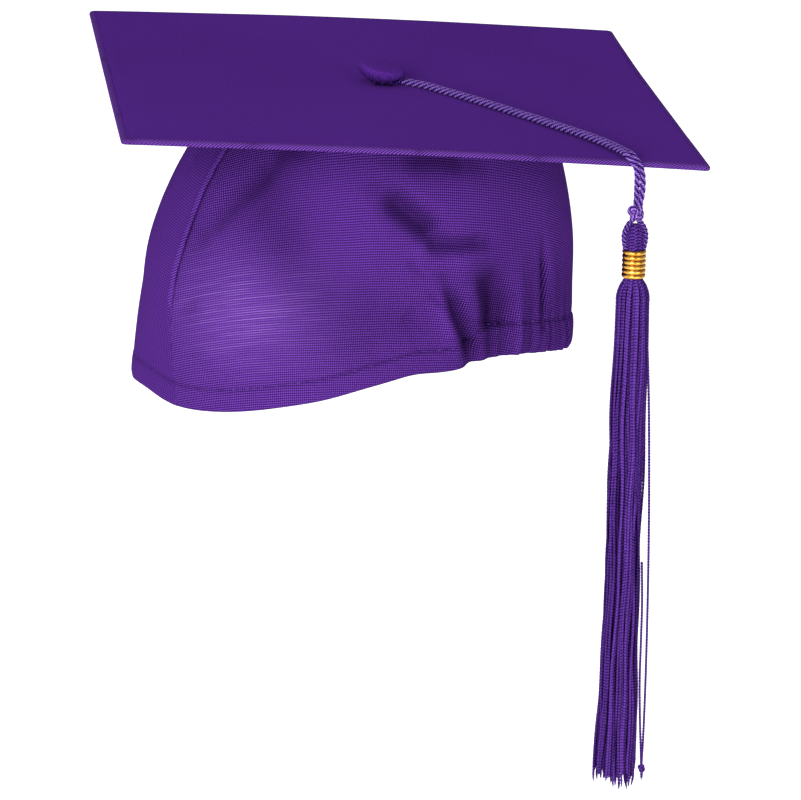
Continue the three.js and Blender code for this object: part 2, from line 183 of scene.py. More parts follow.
class Parts:
    """Points and faces gathered from many small pieces into one mesh."""

    def __init__(self):
        self.points, self.faces, self.cloth, self.tone_and_shade = [], [], [], []

    def rings(self, rings, cloth, tone_and_shade, closed=False):
        """A tube through rings of points, capped at its ends unless closed on itself."""
        start = len(self.points)
        count, sides = len(rings), len(rings[0])
        for ring in rings:
            self.points.extend(ring)
        self.cloth.extend(cloth)
        self.tone_and_shade.extend(tone_and_shade if isinstance(tone_and_shade, list) else [tone_and_shade] * (count * sides))
        self.faces += grid_faces(count, sides, start, wrap=True)
        if closed:
            last = start + (count - 1) * sides
            for j in range(sides):
                k = (j + 1) % sides
                self.faces.append((last + j, last + k, start + k, start + j))
        else:
            self.faces.append(tuple(range(start + sides - 1, start - 1, -1)))
            first = start + (count - 1) * sides
            self.faces.append(tuple(range(first, first + sides)))

    def build(self, name, material):
        return new_mesh(name, self.points, self.faces, material, self.cloth, self.tone_and_shade)


def distances(line):
    """How far along the line each of its points is."""
    return np.concatenate([[0], np.cumsum(np.linalg.norm(np.diff(line, axis=0), axis=1))])


def smooth_line(points, step):
    """Points evenly spaced along a Catmull-Rom curve through the given points."""
    given = [Vector(p) for p in points]
    ends = [given[0] * 2 - given[1]] + given + [given[-1] * 2 - given[-2]]
    fine = []
    for i in range(1, len(ends) - 2):
        before, a, b, after = ends[i - 1], ends[i], ends[i + 1], ends[i + 2]
        for k in range(CURVE_STEPS):
            t = k / CURVE_STEPS
            fine.append(0.5 * (
                2 * a + (b - before) * t + (2 * before - 5 * a + 4 * b - after) * t * t
                + (3 * a - before - 3 * b + after) * t * t * t
            ))
    fine.append(given[-1])
    line = np.array([tuple(p) for p in fine])
    lengths = distances(line)
    count = max(2, int(round(lengths[-1] / step)) + 1)
    wanted = np.linspace(0, lengths[-1], count)
    return np.stack([np.interp(wanted, lengths, line[:, k]) for k in range(3)], 1)


def frames_along(line, closed=False):
    """A steady pair of cross directions at each point, with no sudden turn."""
    if closed:
        tangents = np.roll(line, -1, 0) - np.roll(line, 1, 0)
    else:
        tangents = np.gradient(line, axis=0)
    tangents /= np.linalg.norm(tangents, axis=1)[:, None]
    start = np.array([0.0, 0.0, 1.0]) if abs(tangents[0][2]) < 0.8 else np.array([1.0, 0.0, 0.0])
    across = start - tangents[0] * start.dot(tangents[0])
    across /= np.linalg.norm(across)
    firsts = [across]
    for tangent in tangents[1:]:
        across = firsts[-1] - tangent * firsts[-1].dot(tangent)
        firsts.append(across / np.linalg.norm(across))
    firsts = np.array(firsts)
    return firsts, np.cross(tangents, firsts)


def lobed_tube(parts, line, radius, sides, pitch, depth, tone_and_shade, taper=0, phase=0.0):
    """A tube with two rounded lobes that turn along it; taper narrows its last stretch."""
    first, second = frames_along(line)
    lengths = distances(line)
    angles = np.arange(sides) * 2 * math.pi / sides
    rings, cloth = [], []
    for i, centre in enumerate(line):
        turn = 2 * math.pi * lengths[i] / pitch + phase
        size = radius
        if taper and lengths[-1] - lengths[i] < taper:
            size *= TIP_SHARE + (1 - TIP_SHARE) * (lengths[-1] - lengths[i]) / taper
        reach = size * (1 - depth + depth * np.cos(2 * (angles - turn)))
        ring = centre + np.outer(reach * np.cos(angles), first[i])
        ring += np.outer(reach * np.sin(angles), second[i])
        rings.append([tuple(p) for p in ring])
        cloth += [(lengths[i] / MM + phase, math.remainder(a - turn, 2 * math.pi), turn) for a in angles]
    parts.rings(rings, cloth, tone_and_shade)


def laid_cord(parts, line, radius, pitch, tone_and_shade, closed=False):
    """Plies wound round the line: each ply is its own tube, painted darker where it faces inwards (painted
    shade in the grooves) and lighter outwards (painted highlight).
    """
    first, second = frames_along(line, closed)
    lengths = distances(line)
    ply_radius = radius * PLY_SHARE
    orbit = radius - ply_radius
    angles = np.arange(PLY_SIDES) * 2 * math.pi / PLY_SIDES
    for ply in range(PLIES):
        turn = 2 * math.pi * (ply / PLIES - lengths / pitch)
        outward = first * np.cos(turn)[:, None] + second * np.sin(turn)[:, None]
        centre = line + outward * orbit
        across, other = frames_along(centre, closed)
        rings, cloth, tones_and_shades = [], [], []
        for i in range(len(centre)):
            ways = np.outer(np.cos(angles), across[i]) + np.outer(np.sin(angles), other[i])
            rings.append([tuple(p) for p in centre[i] + ply_radius * ways])
            cloth += [(lengths[i] / MM, a, turn[i]) for a in angles]
            # painted shade and painted highlight: each ply's inner side darker, its outer side lighter
            tones_and_shades += [float(t) for t in tone_and_shade + PLY_PAINTED_SHADE * (ways @ outward[i])]
        parts.rings(rings, cloth, tones_and_shades, closed)


# ---- Materials ---------------------------------------------------------------------
class Nodes:
    """Short ways to add nodes to one material."""

    def __init__(self, name):
        self.material = bpy.data.materials.new(name)
        self.material.use_nodes = True
        self.tree = self.material.node_tree
        self.shader = self.tree.nodes["Principled BSDF"]

    def add(self, kind, **settings):
        node = self.tree.nodes.new(kind)
        for key, value in settings.items():
            setattr(node, key, value)
        return node

    def link(self, source, target):
        self.tree.links.new(source, target)

    def math(self, operation, *values):
        node = self.add("ShaderNodeMath", operation=operation)
        for socket, value in zip(node.inputs, values):
            if isinstance(value, (int, float)):
                socket.default_value = value
            else:
                self.link(value, socket)
        return node.outputs[0]

    def attribute(self, name):
        """A layer stored on the points: its Fac if a number, its Vector if a position."""
        node = self.add("ShaderNodeAttribute", attribute_type="GEOMETRY", attribute_name=name)
        return node.outputs["Vector" if name == "cloth" else "Fac"]

    def cloth_axes(self):
        """The weave or strand coordinate, split into its three axes."""
        split = self.add("ShaderNodeSeparateXYZ")
        self.link(self.attribute("cloth"), split.inputs[0])
        return split.outputs

    def noise(self, scale, detail, vector=None):
        node = self.add("ShaderNodeTexNoise")
        node.inputs["Scale"].default_value = scale
        node.inputs["Detail"].default_value = detail
        if vector is None:
            vector = self.add("ShaderNodeTexCoord").outputs["Object"]
        self.link(vector, node.inputs["Vector"])
        return node.outputs["Fac"]

    def ramp(self, fac, stops):
        node = self.add("ShaderNodeValToRGB")
        elements = node.color_ramp.elements
        elements[0].position, elements[0].color = stops[0][0], (*stops[0][1], 1)
        elements[1].position, elements[1].color = stops[-1][0], (*stops[-1][1], 1)
        for position, color in stops[1:-1]:
            elements.new(position).color = (*color, 1)
        self.link(fac, node.inputs["Fac"])
        return node.outputs["Color"]

    def mixed(self, factor, a, b, how="MIX"):
        node = self.add("ShaderNodeMix", data_type="RGBA", blend_type=how)
        if isinstance(factor, float):
            node.inputs[0].default_value = factor
        else:
            self.link(factor, node.inputs[0])
        self.link(a, node.inputs[6])
        if isinstance(b, tuple):
            node.inputs[7].default_value = (*b, 1)
        else:
            self.link(b, node.inputs[7])
        return node.outputs[2]

    def bump(self, height, distance, strength):
        node = self.add("ShaderNodeBump")
        node.inputs["Strength"].default_value = strength
        node.inputs["Distance"].default_value = distance
        self.link(height, node.inputs["Height"])
        self.link(node.outputs["Normal"], self.shader.inputs["Normal"])

    def paint(self, color):
        self.link(color, self.shader.inputs["Base Color"])

    def roughen(self, detail, amount, least):
        rough = self.math("ADD", self.math("MULTIPLY", detail, amount), least)
        self.link(rough, self.shader.inputs["Roughness"])

    def wave(self, phase):
        """A sine of the phase, from 0 to 1."""
        return self.math("ADD", self.math("MULTIPLY", self.math("SINE", phase), 0.5), 0.5)

    def set(self, **values):
        for name, value in values.items():
            self.shader.inputs[name.replace("_", " ")].default_value = value


def shade(color, factor):
    return tuple(c * factor for c in color)


SATIN_PURPLE = (0.12, 0.052, 0.24)  # the sheen that lies over weft threads facing the light
SLUB_PURPLE = (0.21, 0.11, 0.38)  # single weft threads that shine
CREST_LILAC = (0.035, 0.022, 0.03)  # what the tops of the crossings gain over the cloth's colour: a painted highlight on the thread crests
CLOTH_SHEEN = (0.38, 0.14, 0.9, 1)
THREAD_SHEEN = (0.5, 0.25, 1, 1)
# the deepest painted shade in the crown's folds and hollows
FOLD_SHADE_DARKNESS = 0.62


def woven_cloth(name, color, period, contrast, rib, weft_light=0.0):
    """Plain woven cloth: a grid of raised crossings with darker gaps, fibres and slubs.

    rib is the share of plain weft lines in the grid; weft_light shows single shining threads.
    """
    n = Nodes(name)
    axes = n.cloth_axes()
    drift = n.math("MULTIPLY", n.math("SUBTRACT", n.noise(70, 2), 0.5), period * 0.8)
    warp, weft = (
        n.wave(n.math("MULTIPLY", n.math("ADD", axis, drift), 2 * math.pi / period)) for axis in axes[:2])
    shine = n.attribute("shine")
    share = n.math("ADD", n.math("MULTIPLY", n.noise(26, 2), 0.5), rib - 0.25)
    share = n.math("ADD", share, n.math("MULTIPLY", shine, 0.4))
    grid = n.math("MULTIPLY", n.math("MULTIPLY", warp, weft), n.math("SUBTRACT", 1, share))
    lines = n.math("MULTIPLY", n.math("MULTIPLY", weft, 0.6), share)
    fibres = n.noise(2600, 2)
    height = n.math("ADD", n.math("ADD", grid, lines), n.math("MULTIPLY", fibres, 0.3))
    # the crests are painted lighter and more lilac: painted highlight on the thread tops
    crest = tuple(c * (1 + contrast * 2) + lilac * contrast for c, lilac in zip(color, CREST_LILAC))
    woven = n.ramp(height, [(0.16, shade(color, 1 - contrast)), (0.42, color), (0.95, crest)])
    # painted highlight: the shine layer mixes in the satin sheen and lights single slub threads, low behind
    # the front seam
    if weft_light:
        woven = n.mixed(n.math("MULTIPLY", shine, 0.22), woven, SATIN_PURPLE)
        woven = n.mixed(slub_threads(n, axes, period, weft_light), woven, SLUB_PURPLE)
    # painted shade: folds, the hem line, the elastic and hollows are painted darker from the per-point fold
    # layer
    fold_shade = n.math("SUBTRACT", 1, n.math("MULTIPLY", n.attribute("fold_shade"), FOLD_SHADE_DARKNESS))
    shaded = n.add("ShaderNodeCombineXYZ")
    for socket in shaded.inputs:
        n.link(fold_shade, socket)
    woven = n.mixed(1.0, woven, shaded.outputs[0], "MULTIPLY")
    cloudy = n.ramp(n.noise(9, 3), [(0.3, (0.94, 0.94, 0.94)), (0.7, (1.06, 1.06, 1.06))])
    n.paint(n.mixed(1.0, woven, cloudy, "MULTIPLY"))
    n.roughen(fibres, 0.2, 0.45)
    n.bump(height, 0.22 * MM, 0.6)
    n.set(Specular_IOR_Level=0, Sheen_Weight=0.04, Sheen_Roughness=0.45, Sheen_Tint=CLOTH_SHEEN)
    return n.material


def slub_threads(n, axes, period, amount):
    """Single weft threads that shine in short lengths; returns how much each point shows them."""
    row = n.math("DIVIDE", axes[1], period)
    centre = n.math("SUBTRACT", n.math("FRACT", row), 0.25)
    thin = n.math("SUBTRACT", 1, n.math("MULTIPLY", n.math("ABSOLUTE", centre), 4.5))
    place = n.add("ShaderNodeCombineXYZ")
    n.link(n.math("MULTIPLY", axes[0], 0.035), place.inputs[0])
    n.link(n.math("MULTIPLY", n.math("FLOOR", row), 5.3), place.inputs[1])
    lengths = n.noise(1.0, 1, place.outputs[0])
    chosen = n.math("MULTIPLY", n.math("SUBTRACT", lengths, 0.44), 5)
    shown = n.math("MULTIPLY", n.math("MAXIMUM", thin, 0), n.math("MAXIMUM", chosen, 0))
    lit = n.math("MULTIPLY", n.math("MINIMUM", shown, 1), n.attribute("shine"))
    return n.math("MULTIPLY", lit, amount)


def thread(name, dark, light, gloss, pitch, chain):
    """Rayon thread: fine filaments, with painted highlight only on the crests of its twist or of its chain
    loops.

    chain is 1 for the slanted loops of a chain-stitched strand, in pairs, and 0 for a plain twist.
    """
    n = Nodes(name)
    along, around, _ = n.cloth_axes()
    if chain:
        around = n.math("ABSOLUTE", n.math("SINE", n.math("MULTIPLY", around, 2)))
    slant = n.math("MULTIPLY", around, 2.6 + 0.6 * chain)
    loops = n.wave(n.math("ADD", n.math("MULTIPLY", along, 2 * math.pi / pitch), slant))
    fuzz = n.noise(1500, 3)
    raised = n.math("MULTIPLY", loops, 0.5 + 0.6 * chain)
    height = n.math("ADD", raised, n.math("MULTIPLY", fuzz, 0.4 - 0.15 * chain))
    lifted = n.math("MULTIPLY", n.math("SUBTRACT", n.attribute("tone_and_shade"), 0.5), 1.1 - 0.55 * chain)
    level = n.math("ADD", n.math("MULTIPLY", height, 0.75), lifted)
    middle = tuple(a * 0.72 + b * 0.28 for a, b in zip(dark, light))
    # painted highlight on the crests of the twist or chain loops; the per-point tone layer adds painted
    # shade
    n.paint(n.ramp(level, [(0.12, dark), (0.55, middle), (0.98, light)]))
    n.roughen(fuzz, 0.25, gloss)
    n.bump(height, 0.16 * MM, 0.7)
    n.set(Sheen_Weight=0.02, Sheen_Roughness=0.35, Specular_IOR_Level=0, Sheen_Tint=THREAD_SHEEN)
    return n.material


def gilt():
    """Polished gilt metal with patches of brown tarnish, bright on its ribs and darker between them as
    painted shade.
    """
    n = Nodes("gilt")
    tarnish = n.noise(420, 4)
    stops = [(0.25, (0.42, 0.17, 0.02)), (0.6, (0.66, 0.35, 0.06)), (0.9, (0.84, 0.54, 0.16))]
    color = n.ramp(tarnish, stops)
    # painted shade: dark between the ribs, bright on their crests
    rib_shade = n.ramp(n.attribute("tone_and_shade"), [(0.1, (0.1, 0.05, 0.02)), (0.55, (1, 1, 1))])
    n.paint(n.mixed(1.0, color, rib_shade, "MULTIPLY"))
    n.roughen(tarnish, 0.18, 0.12)
    n.bump(n.noise(1900, 2), 0.04 * MM, 0.3)
    n.set(Metallic=1.0)
    return n.material


def plated_steel():
    """Dull plated steel with rub marks."""
    n = Nodes("plated_steel")
    marks = n.noise(900, 4)
    n.paint(n.ramp(marks, [(0.3, (0.42, 0.42, 0.44)), (0.7, (0.68, 0.68, 0.7))]))
    n.roughen(marks, 0.3, 0.25)
    n.bump(marks, 0.03 * MM, 0.4)
    n.set(Metallic=1.0)
    return n.material


def grey_board():
    """Flecked grey board."""
    n = Nodes("grey_board")
    fleck = n.noise(700, 5)
    n.paint(n.ramp(fleck, [(0.3, (0.22, 0.2, 0.17)), (0.7, (0.36, 0.33, 0.29))]))
    n.bump(fleck, 0.1 * MM, 0.5)
    n.set(Roughness=0.9)
    return n.material


BOARD_PURPLE = (0.056, 0.0125, 0.165)
CROWN_PURPLE = (0.045, 0.0112, 0.123)
board_cloth = woven_cloth("board_cloth", BOARD_PURPLE, 0.8, 0.16, 0.3)
# the board's edge: a darker copy of the board cloth, painted shade on its side
edge_cloth = woven_cloth("edge_cloth", shade(BOARD_PURPLE, 0.45), 1.55, 0.9, 0.0)
# the seam lip: darker than the front panel it folds from, painted shade on the seam's folded edge
seam_cloth = woven_cloth("seam_cloth", shade(BOARD_PURPLE, 0.58), 1.3, 0.6, 0.0)
button_cloth = woven_cloth("button_cloth", shade(BOARD_PURPLE, 0.95), 0.9, 0.2, 0.2)
front_cloth = woven_cloth("front_cloth", shade(CROWN_PURPLE, 0.92), 1.05, 0.3, 0.1)
crown_cloth = woven_cloth("crown_cloth", shade(CROWN_PURPLE, 0.98), 1.05, 0.6, 0.1, 0.6)
elastic_web = woven_cloth("elastic_web", (0.6, 0.58, 0.55), 0.9, 0.25, 0.9)
cord_thread = thread("cord_thread", (0.012, 0.002, 0.065), (0.44, 0.23, 0.8), 0.5, 0.9, 0)
tassel_thread = thread("tassel_thread", (0.002, 0.0003, 0.017), (0.115, 0.038, 0.3), 0.45, 1.3, 1)
stitch_thread = thread("stitch_thread", (0.03, 0.008, 0.1), (0.12, 0.05, 0.27), 0.5, 0.8, 0)
gilt_metal = gilt()
steel = plated_steel()
core_board = grey_board()

# ---- Cords -------------------------------------------------------------------------
CORD_DIAMETER = 2.6 * MM
CORD_HEIGHT = 1.45
CORD_SPACING = 1.25 * MM
CORD_PLY_PITCH = 9.0 * MM
CORD_ROUTE = [
    (0.8, 8.5), (7.1, 17.2), (17.2, 25.6), (26.8, 33.2), (38.1, 41.2), (50.1, 49.4), (62.6, 58),
    (74.6, 65.5), (84.6, 72), (96.3, 78.3), (104, 81.8), (112.4, 84.9), (118.6, 86.6),
]
CORD_OVER_EDGE = [
    (121.0, 88.2, 0.9), (122.0, 89.7, -0.8), (122.25, 90.9, -4), (122.2, 91.5, -9), (122.1, 91.6, -14),
    (122.1, 91.4, -18.6),
]
EDGE_TWIST_START = 0.80
EDGE_TWIST = math.radians(100)
SWING = math.radians(-72)
BIGHT_RADIUS = 3.6 * MM


def board_bow(x, y):
    """How far the board curls up towards its left and right edges, in millimetres."""
    half = HALF_SIDE / MM
    across = np.clip(np.asarray(x) / half, -1, 1)
    along = np.clip(np.asarray(y) / half, -1, 1)
    near = 1.1 * (1 - along**2) + 0.35 * (1 - along)
    far = 1.5 * (1 - along**2) + 1.0 * (1 + along)
    return np.where(across > 0, near, far) * across**2


def bow_under_cord(x, y):
    """The board's bow under the cord, at rest or at the far end of its swing, whichever is higher."""
    swung_x = x * math.cos(SWING) - y * math.sin(SWING)
    swung_y = x * math.sin(SWING) + y * math.cos(SWING)
    return float(max(board_bow(x, y), board_bow(swung_x, swung_y)))


def cord_middle():
    flat = [on_board(x, y, CORD_HEIGHT + bow_under_cord(x, y)) for x, y in CORD_ROUTE]
    over = [on_board(*p) for p in CORD_OVER_EDGE]
    return smooth_line(flat + over, 0.3 * MM)


def cord_leg(side):
    """One leg's centreline: beside the middle on the board, then twisting round its twin."""
    middle = cord_middle()
    tangents = np.gradient(middle, axis=0)
    tangents /= np.linalg.norm(tangents, axis=1)[:, None]
    level = np.stack([tangents[:, 1], -tangents[:, 0], np.zeros(len(middle))], 1)
    last_flat = int(len(middle) * EDGE_TWIST_START)
    for i in range(last_flat, len(middle)):
        level[i] = level[i - 1] - tangents[i] * level[i - 1].dot(tangents[i])
    level /= np.linalg.norm(level, axis=1)[:, None]
    third = np.cross(tangents, level)
    share = np.clip((np.linspace(0, 1, len(middle)) - 0.885) / 0.115, 0, 1)
    turn = EDGE_TWIST * share * share * (3 - 2 * share)
    apart = CORD_SPACING * (1 - 0.1 * share)
    offset = level * (np.cos(turn) * apart)[:, None] + third * (np.sin(turn) * apart)[:, None]
    return middle + side * offset


def rope_piece(name, line, radius, pitch, material, tone_and_shade, closed=False):
    parts = Parts()
    laid_cord(parts, line, radius, pitch, tone_and_shade, closed)
    return parts.build(name, material)


def make_cord_legs():
    """The two legs, each one rope from the button to the knot, bending with the drop at the edge."""
    for number, side in ((1, 1), (2, -1)):
        line = cord_leg(side)
        leg = rope_piece(f"cord_leg_{number}", line, CORD_DIAMETER / 2, CORD_PLY_PITCH, cord_thread, 0.2)
        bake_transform(leg)
        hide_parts(f"board_cord_{number}", f"drop_cord_{number}")
        path = [tuple(p) for p in line[::6]] + [tuple(line[-1])]
        tuple(line[0])


def make_cord_loop():
    """The bight of the doubled cord round the button's shank, under the button."""
    starts = [cord_leg(side)[0] for side in (1, -1)]
    inward = -(cord_middle()[3] - cord_middle()[0])
    inward /= np.linalg.norm(inward)
    heading = math.atan2(-inward[1], -inward[0])
    bend = []
    for degrees in range(-75, -286, -30):
        angle = heading + math.radians(degrees)
        bend.append(Vector((BUTTON.x + BIGHT_RADIUS * math.cos(angle),
                            BUTTON.y + BIGHT_RADIUS * math.sin(angle), BOARD.z + CORD_HEIGHT * MM)))
    line = smooth_line([Vector(starts[0])] + bend + [Vector(starts[1])], 0.3 * MM)
    # painted shade: the bight gets a low tone, as it lies in shadow under the button
    loop = rope_piece("cord_bight", line, CORD_DIAMETER / 2, CORD_PLY_PITCH, cord_thread, -0.1)
    attach(loop, "cord_arm", "cord_thread", "cord_loop")


# ---- Tassel, in its own leaning axes -----------------------------------------------
TASSEL_SIDE = Vector((1, 0, 0))
TASSEL_BACK = TASSEL_UP.cross(TASSEL_SIDE).normalized()


def hung(x, y, z):
    """A point in millimetres from the knot's centre, along the tassel's own axes."""
    return KNOT + (TASSEL_SIDE * x + TASSEL_BACK * y + TASSEL_UP * z) * MM


def hung_line(points, step=0.3 * MM):
    return smooth_line([hung(*p) for p in points], step)


HEAD_TOP = -5.1
HEAD_BOTTOM = -15.3
HEAD_BULGE = 3.75
BARREL_TOP = -15.2
BARREL_BOTTOM = -27.2
BARREL_RADIUS = 4.35
SKIRT_END = -251
STRAND_RADIUS = 0.66 * MM


def trefoil(count, centre, reach, wave, stretch, height):
    """A closed overhand-knot line; every size is in millimetres in the tassel's own axes."""
    line = []
    for i in range(count):
        t = 2 * math.pi * i / count
        swing = reach + wave * math.cos(3 * t)
        x = centre[0] + swing * math.cos(2 * t) * stretch[0]
        y = centre[1] + swing * math.sin(2 * t) * stretch[1]
        line.append(tuple(hung(x, y, centre[2] + height * math.sin(3 * t))))
    return np.array(line)


def make_knot():
    """An overhand knot: a trefoil of the same cord, drawn tight."""
    line = trefoil(150, (0, 0, 0.2), 1.55, 0.62, (1.12, 1.18), 2.05)
    knot = rope_piece("tied_knot", line, 1.15 * MM, 6 * MM, cord_thread, 0.28, closed=True)
    attach(knot, "knot", "cord_thread", "cord_knot")


def make_eye():
    """The loop of cord that comes out of the knot and passes down both sides of the head."""
    parts = Parts()
    for side in (1, -1):
        line = hung_line([
            (0.2 * side, 0.5 * side, -1.6), (0.3 * side, 1.3 * side, -3.2), (0.2 * side, 2.7 * side, -4.6),
            (0, 3.95 * side, -6.8), (0, 4.5 * side, -9.4), (0, 4.35 * side, -12), (0, 3.7 * side, -15.6),
        ])
        laid_cord(parts, line, 1.15 * MM, 5.4 * MM, 0.1)
    eye = parts.build("head_loop", cord_thread)
    attach(eye, "tassel", "cord_thread", "tassel_eye")


def make_head():
    """The thread ball: strands doubled over the eye and drawn in under the barrel's mouth."""
    rng = random.Random(3)
    parts = Parts()
    count = 26
    for k in range(count):
        bearing = 2 * math.pi * k / count + rng.uniform(-0.05, 0.05)
        bulge = HEAD_BULGE * rng.uniform(0.95, 1.04) - 0.6
        points = [
            (0.5, HEAD_TOP + 0.1), (bulge * 0.62, HEAD_TOP - 0.5), (bulge * 0.93, HEAD_TOP - 2.2),
            (bulge, HEAD_TOP - 4.6), (bulge * 0.98, HEAD_TOP - 7.2), (3.1, HEAD_BOTTOM + 0.4),
            (2.9, HEAD_BOTTOM - 1),
        ]
        swirl = rng.uniform(-0.12, 0.12)
        line = hung_line([
            (r * math.cos(bearing + swirl * i / 6), r * math.sin(bearing + swirl * i / 6), z)
            for i, (r, z) in enumerate(points)], 0.5 * MM)
        lobed_tube(parts, line, STRAND_RADIUS, 8, 2.4 * MM, 0.16, rng.uniform(0.25, 0.75),
                   phase=rng.random() * 6)
    head = parts.build("thread_head", tassel_thread)
    attach(head, "tassel", "tassel_thread", "tassel_head")


def turned_piece(name, outline, material, sides, place):
    """A surface of revolution from a closed outline of radius and height."""
    points, cloth = [], []
    length = 0.0
    for i, (radius, height) in enumerate(outline):
        if i:
            length += math.hypot(radius - outline[i - 1][0], height - outline[i - 1][1])
        for j in range(sides):
            angle = 2 * math.pi * j / sides
            points.append(place(radius * math.cos(angle), radius * math.sin(angle), height))
            cloth.append((radius * math.cos(angle), radius * math.sin(angle) + height * 0.4, length))
    return new_mesh(name, points, loop_faces(len(outline), sides), material, cloth)


def make_barrel():
    """The gilt barrel: six rounded ribs round a sleeve that is open at both ends."""
    ribs, steps, sides = 6, 12, 64
    outline = [(3.7, BARREL_TOP)]
    rise = [0.4]
    pitch = (BARREL_TOP - BARREL_BOTTOM) / ribs
    for rib in range(ribs):
        for k in range(steps):
            crest = math.sin(math.pi * k / steps) ** 0.8
            outline.append((BARREL_RADIUS + 0.66 * crest, BARREL_TOP - pitch * (rib + k / steps)))
            rise.append(crest)
    outline += [(BARREL_RADIUS, BARREL_BOTTOM), (3.75, BARREL_BOTTOM + 0.05), (3.7, BARREL_BOTTOM + 1)]
    rise += [0.3, 0.3, 0.3]
    barrel = turned_piece("gilt_barrel", outline, gilt_metal, sides, hung)
    # painted shade between the ribs: the crests keep the gilt bright, the hollows are darkened
    add_layer(barrel, "tone_and_shade", np.repeat(rise, sides))
    attach(barrel, "tassel", "gilt_metal", "tassel_barrel")


SKIRT_PROFILE = [
    (-16, 3.1), (-27.4, 3.3), (-30, 5.0), (-34, 6.5), (-60, 6.7), (-90, 6.9), (-120, 6.8),
    (-190, 7.3), (-251, 8.5),
]


def skirt_reach(z):
    heights = [-p[0] for p in SKIRT_PROFILE]
    return float(np.interp(-z, heights, [p[1] for p in SKIRT_PROFILE]))


def strand_line(bearing, share, end, rng):
    """One skirt strand: packed by its share of the radius, wandering a little, hanging straight."""
    drift = rng.uniform(-0.16, 0.16)
    phases = [rng.uniform(0, 6.28) for _ in range(4)]
    points = []
    z = -16.0
    while z > end + 3:
        reach = skirt_reach(z) * share
        down = (-z - 27) / 224
        wander = 0.0 if z > -32 else min(1.0, (-z - 32) / 60)
        angle = bearing + drift * max(0, down)
        sway = []
        for k in (0, 1):
            quick = 0.3 * math.sin(-z / 8.5 + phases[k + 2])
            sway.append(wander * (0.55 * math.sin(-z / 25 + phases[k]) + quick))
        x = reach * math.cos(angle) + sway[0]
        y = reach * math.sin(angle) + sway[1] + 0.1 * min(1.0, max(0.0, (-z - 27) / 6))
        points.append((x, y, z))
        z -= 5.5 if z < -36 else 3.8
    last = points[-1]
    points.append((last[0] + rng.uniform(-0.8, 0.8), last[1] + rng.uniform(-0.9, 0.6), end))
    return hung_line(points, 0.75 * MM)


def make_skirt():
    """Seven bundles of separate strands: one in the middle and six round it."""
    rng = random.Random(11)
    layout = [[] for _ in range(7)]
    for ring, (count, share) in enumerate(((5, 0.2), (13, 0.52), (24, 0.8), (34, 1.0))):
        for k in range(count):
            bearing = 2 * math.pi * (k + 0.37 * ring) / count + rng.uniform(-0.07, 0.07)
            bundle = 6 if ring == 0 else int((bearing % (2 * math.pi)) / (math.pi / 3))
            layout[bundle].append((bearing, share * rng.uniform(0.93, 1.02)))
    for number, strands in enumerate(layout):
        parts = Parts()
        for bearing, share in strands:
            end = SKIRT_END + rng.uniform(-1.5, 6.5)
            line = strand_line(bearing, share, end, rng)
            lobed_tube(parts, line, STRAND_RADIUS * rng.uniform(0.88, 1.08), 6, 2.6 * MM, 0.16,
                       rng.uniform(0.1, 0.95), taper=2.5 * MM, phase=rng.random() * 6)
        piece = parts.build(f"strands_{number + 1}", tassel_thread)
        attach(piece, "tassel", "tassel_thread", f"skirt_bundle_{number + 1}")


LOOSE_DIAMETER = 1.2 * MM
LOOSE_ROUTES = {
    "loose_strand_1": [
        (2.0, 5.6, -44), (2.6, 6.9, -62), (2.6, 8.2, -84), (2.2, 9.3, -108), (1.9, 10.2, -132),
        (1.6, 10.9, -156), (1.4, 11.4, -182), (1.2, 11.7, -208), (1.1, 11.7, -230), (1.3, 11.4, -243),
        (1.6, 11.5, -250),
    ],
    "loose_strand_2": [
        (4.6, 7.4, -150), (4.6, 8.2, -168), (4.0, 8.5, -186), (3.2, 8.8, -204), (2.6, 9.6, -220),
        (2.1, 10.5, -233), (1.7, 11.2, -243), (1.3, 12.0, -249),
    ],
}


def make_loose_strands():
    """The two stray strands beside the skirt and the small knot that ties their ends."""
    for name, route in LOOSE_ROUTES.items():
        line = hung_line(route)
        parts = Parts()
        lobed_tube(parts, line, LOOSE_DIAMETER / 2, 8, 2.6 * MM, 0.16, 0.55, taper=2 * MM)
        strand = parts.build(f"{name}_cord", tassel_thread)
        attach(strand, "tassel", "tassel_thread", name)
    line = trefoil(60, (1.5, 11.4, -244.4), 0.85, 0.4, (1, 1), 1.2)
    tied = rope_piece("loose_tie", line, 0.55 * MM, 3 * MM, tassel_thread, 0.6, closed=True)
    attach(tied, "tassel", "tassel_thread", "loose_strand_knot")


# ---- Crown surface -----------------------------------------------------------------
FRONT_REACH = (66.3, 100.8, 138, 2.15)
BACK_REACH = (68.2, 90.6, 112, 2.46)
SIDE_REACH = (54, 78, 110, 2.2)
HEM_WAVES = (118.2, 17.4, 5.7, -4.5)
HEM_SAGS = ((2.6, 112, 9), (-2.4, 13, 14), (1.0, 78, 9), (-0.7, 99, 5))  # drop, angle and width
ELASTIC_START = 117.0
HEM_WIDTH = 10.0
CASING_WIDTH = 14.0
FRONT_TILT = -0.05  # how far the weft leans on the front panel
SIDE_TILT = 0.65
ARC = 1.47  # millimetres of cloth round the crown for each degree


def reach_at(shape, below):
    top, full, depth, power = shape
    return full - (full - top) * np.maximum(0, 1 - below / depth) ** power


def hump(value, middle, width):
    """A smooth bump, one high at the middle value."""
    return np.exp(-(((value - middle) / width) ** 2))


def fading(value, middle, width):
    """One well below the middle value and nothing well above it."""
    return 1 / (1 + np.exp((value - middle) / width))


def off_front(degrees):
    """Degrees from the centre front, the same on both sides and past the centre back."""
    around = np.abs(degrees)
    return np.minimum(around, 360 - around)


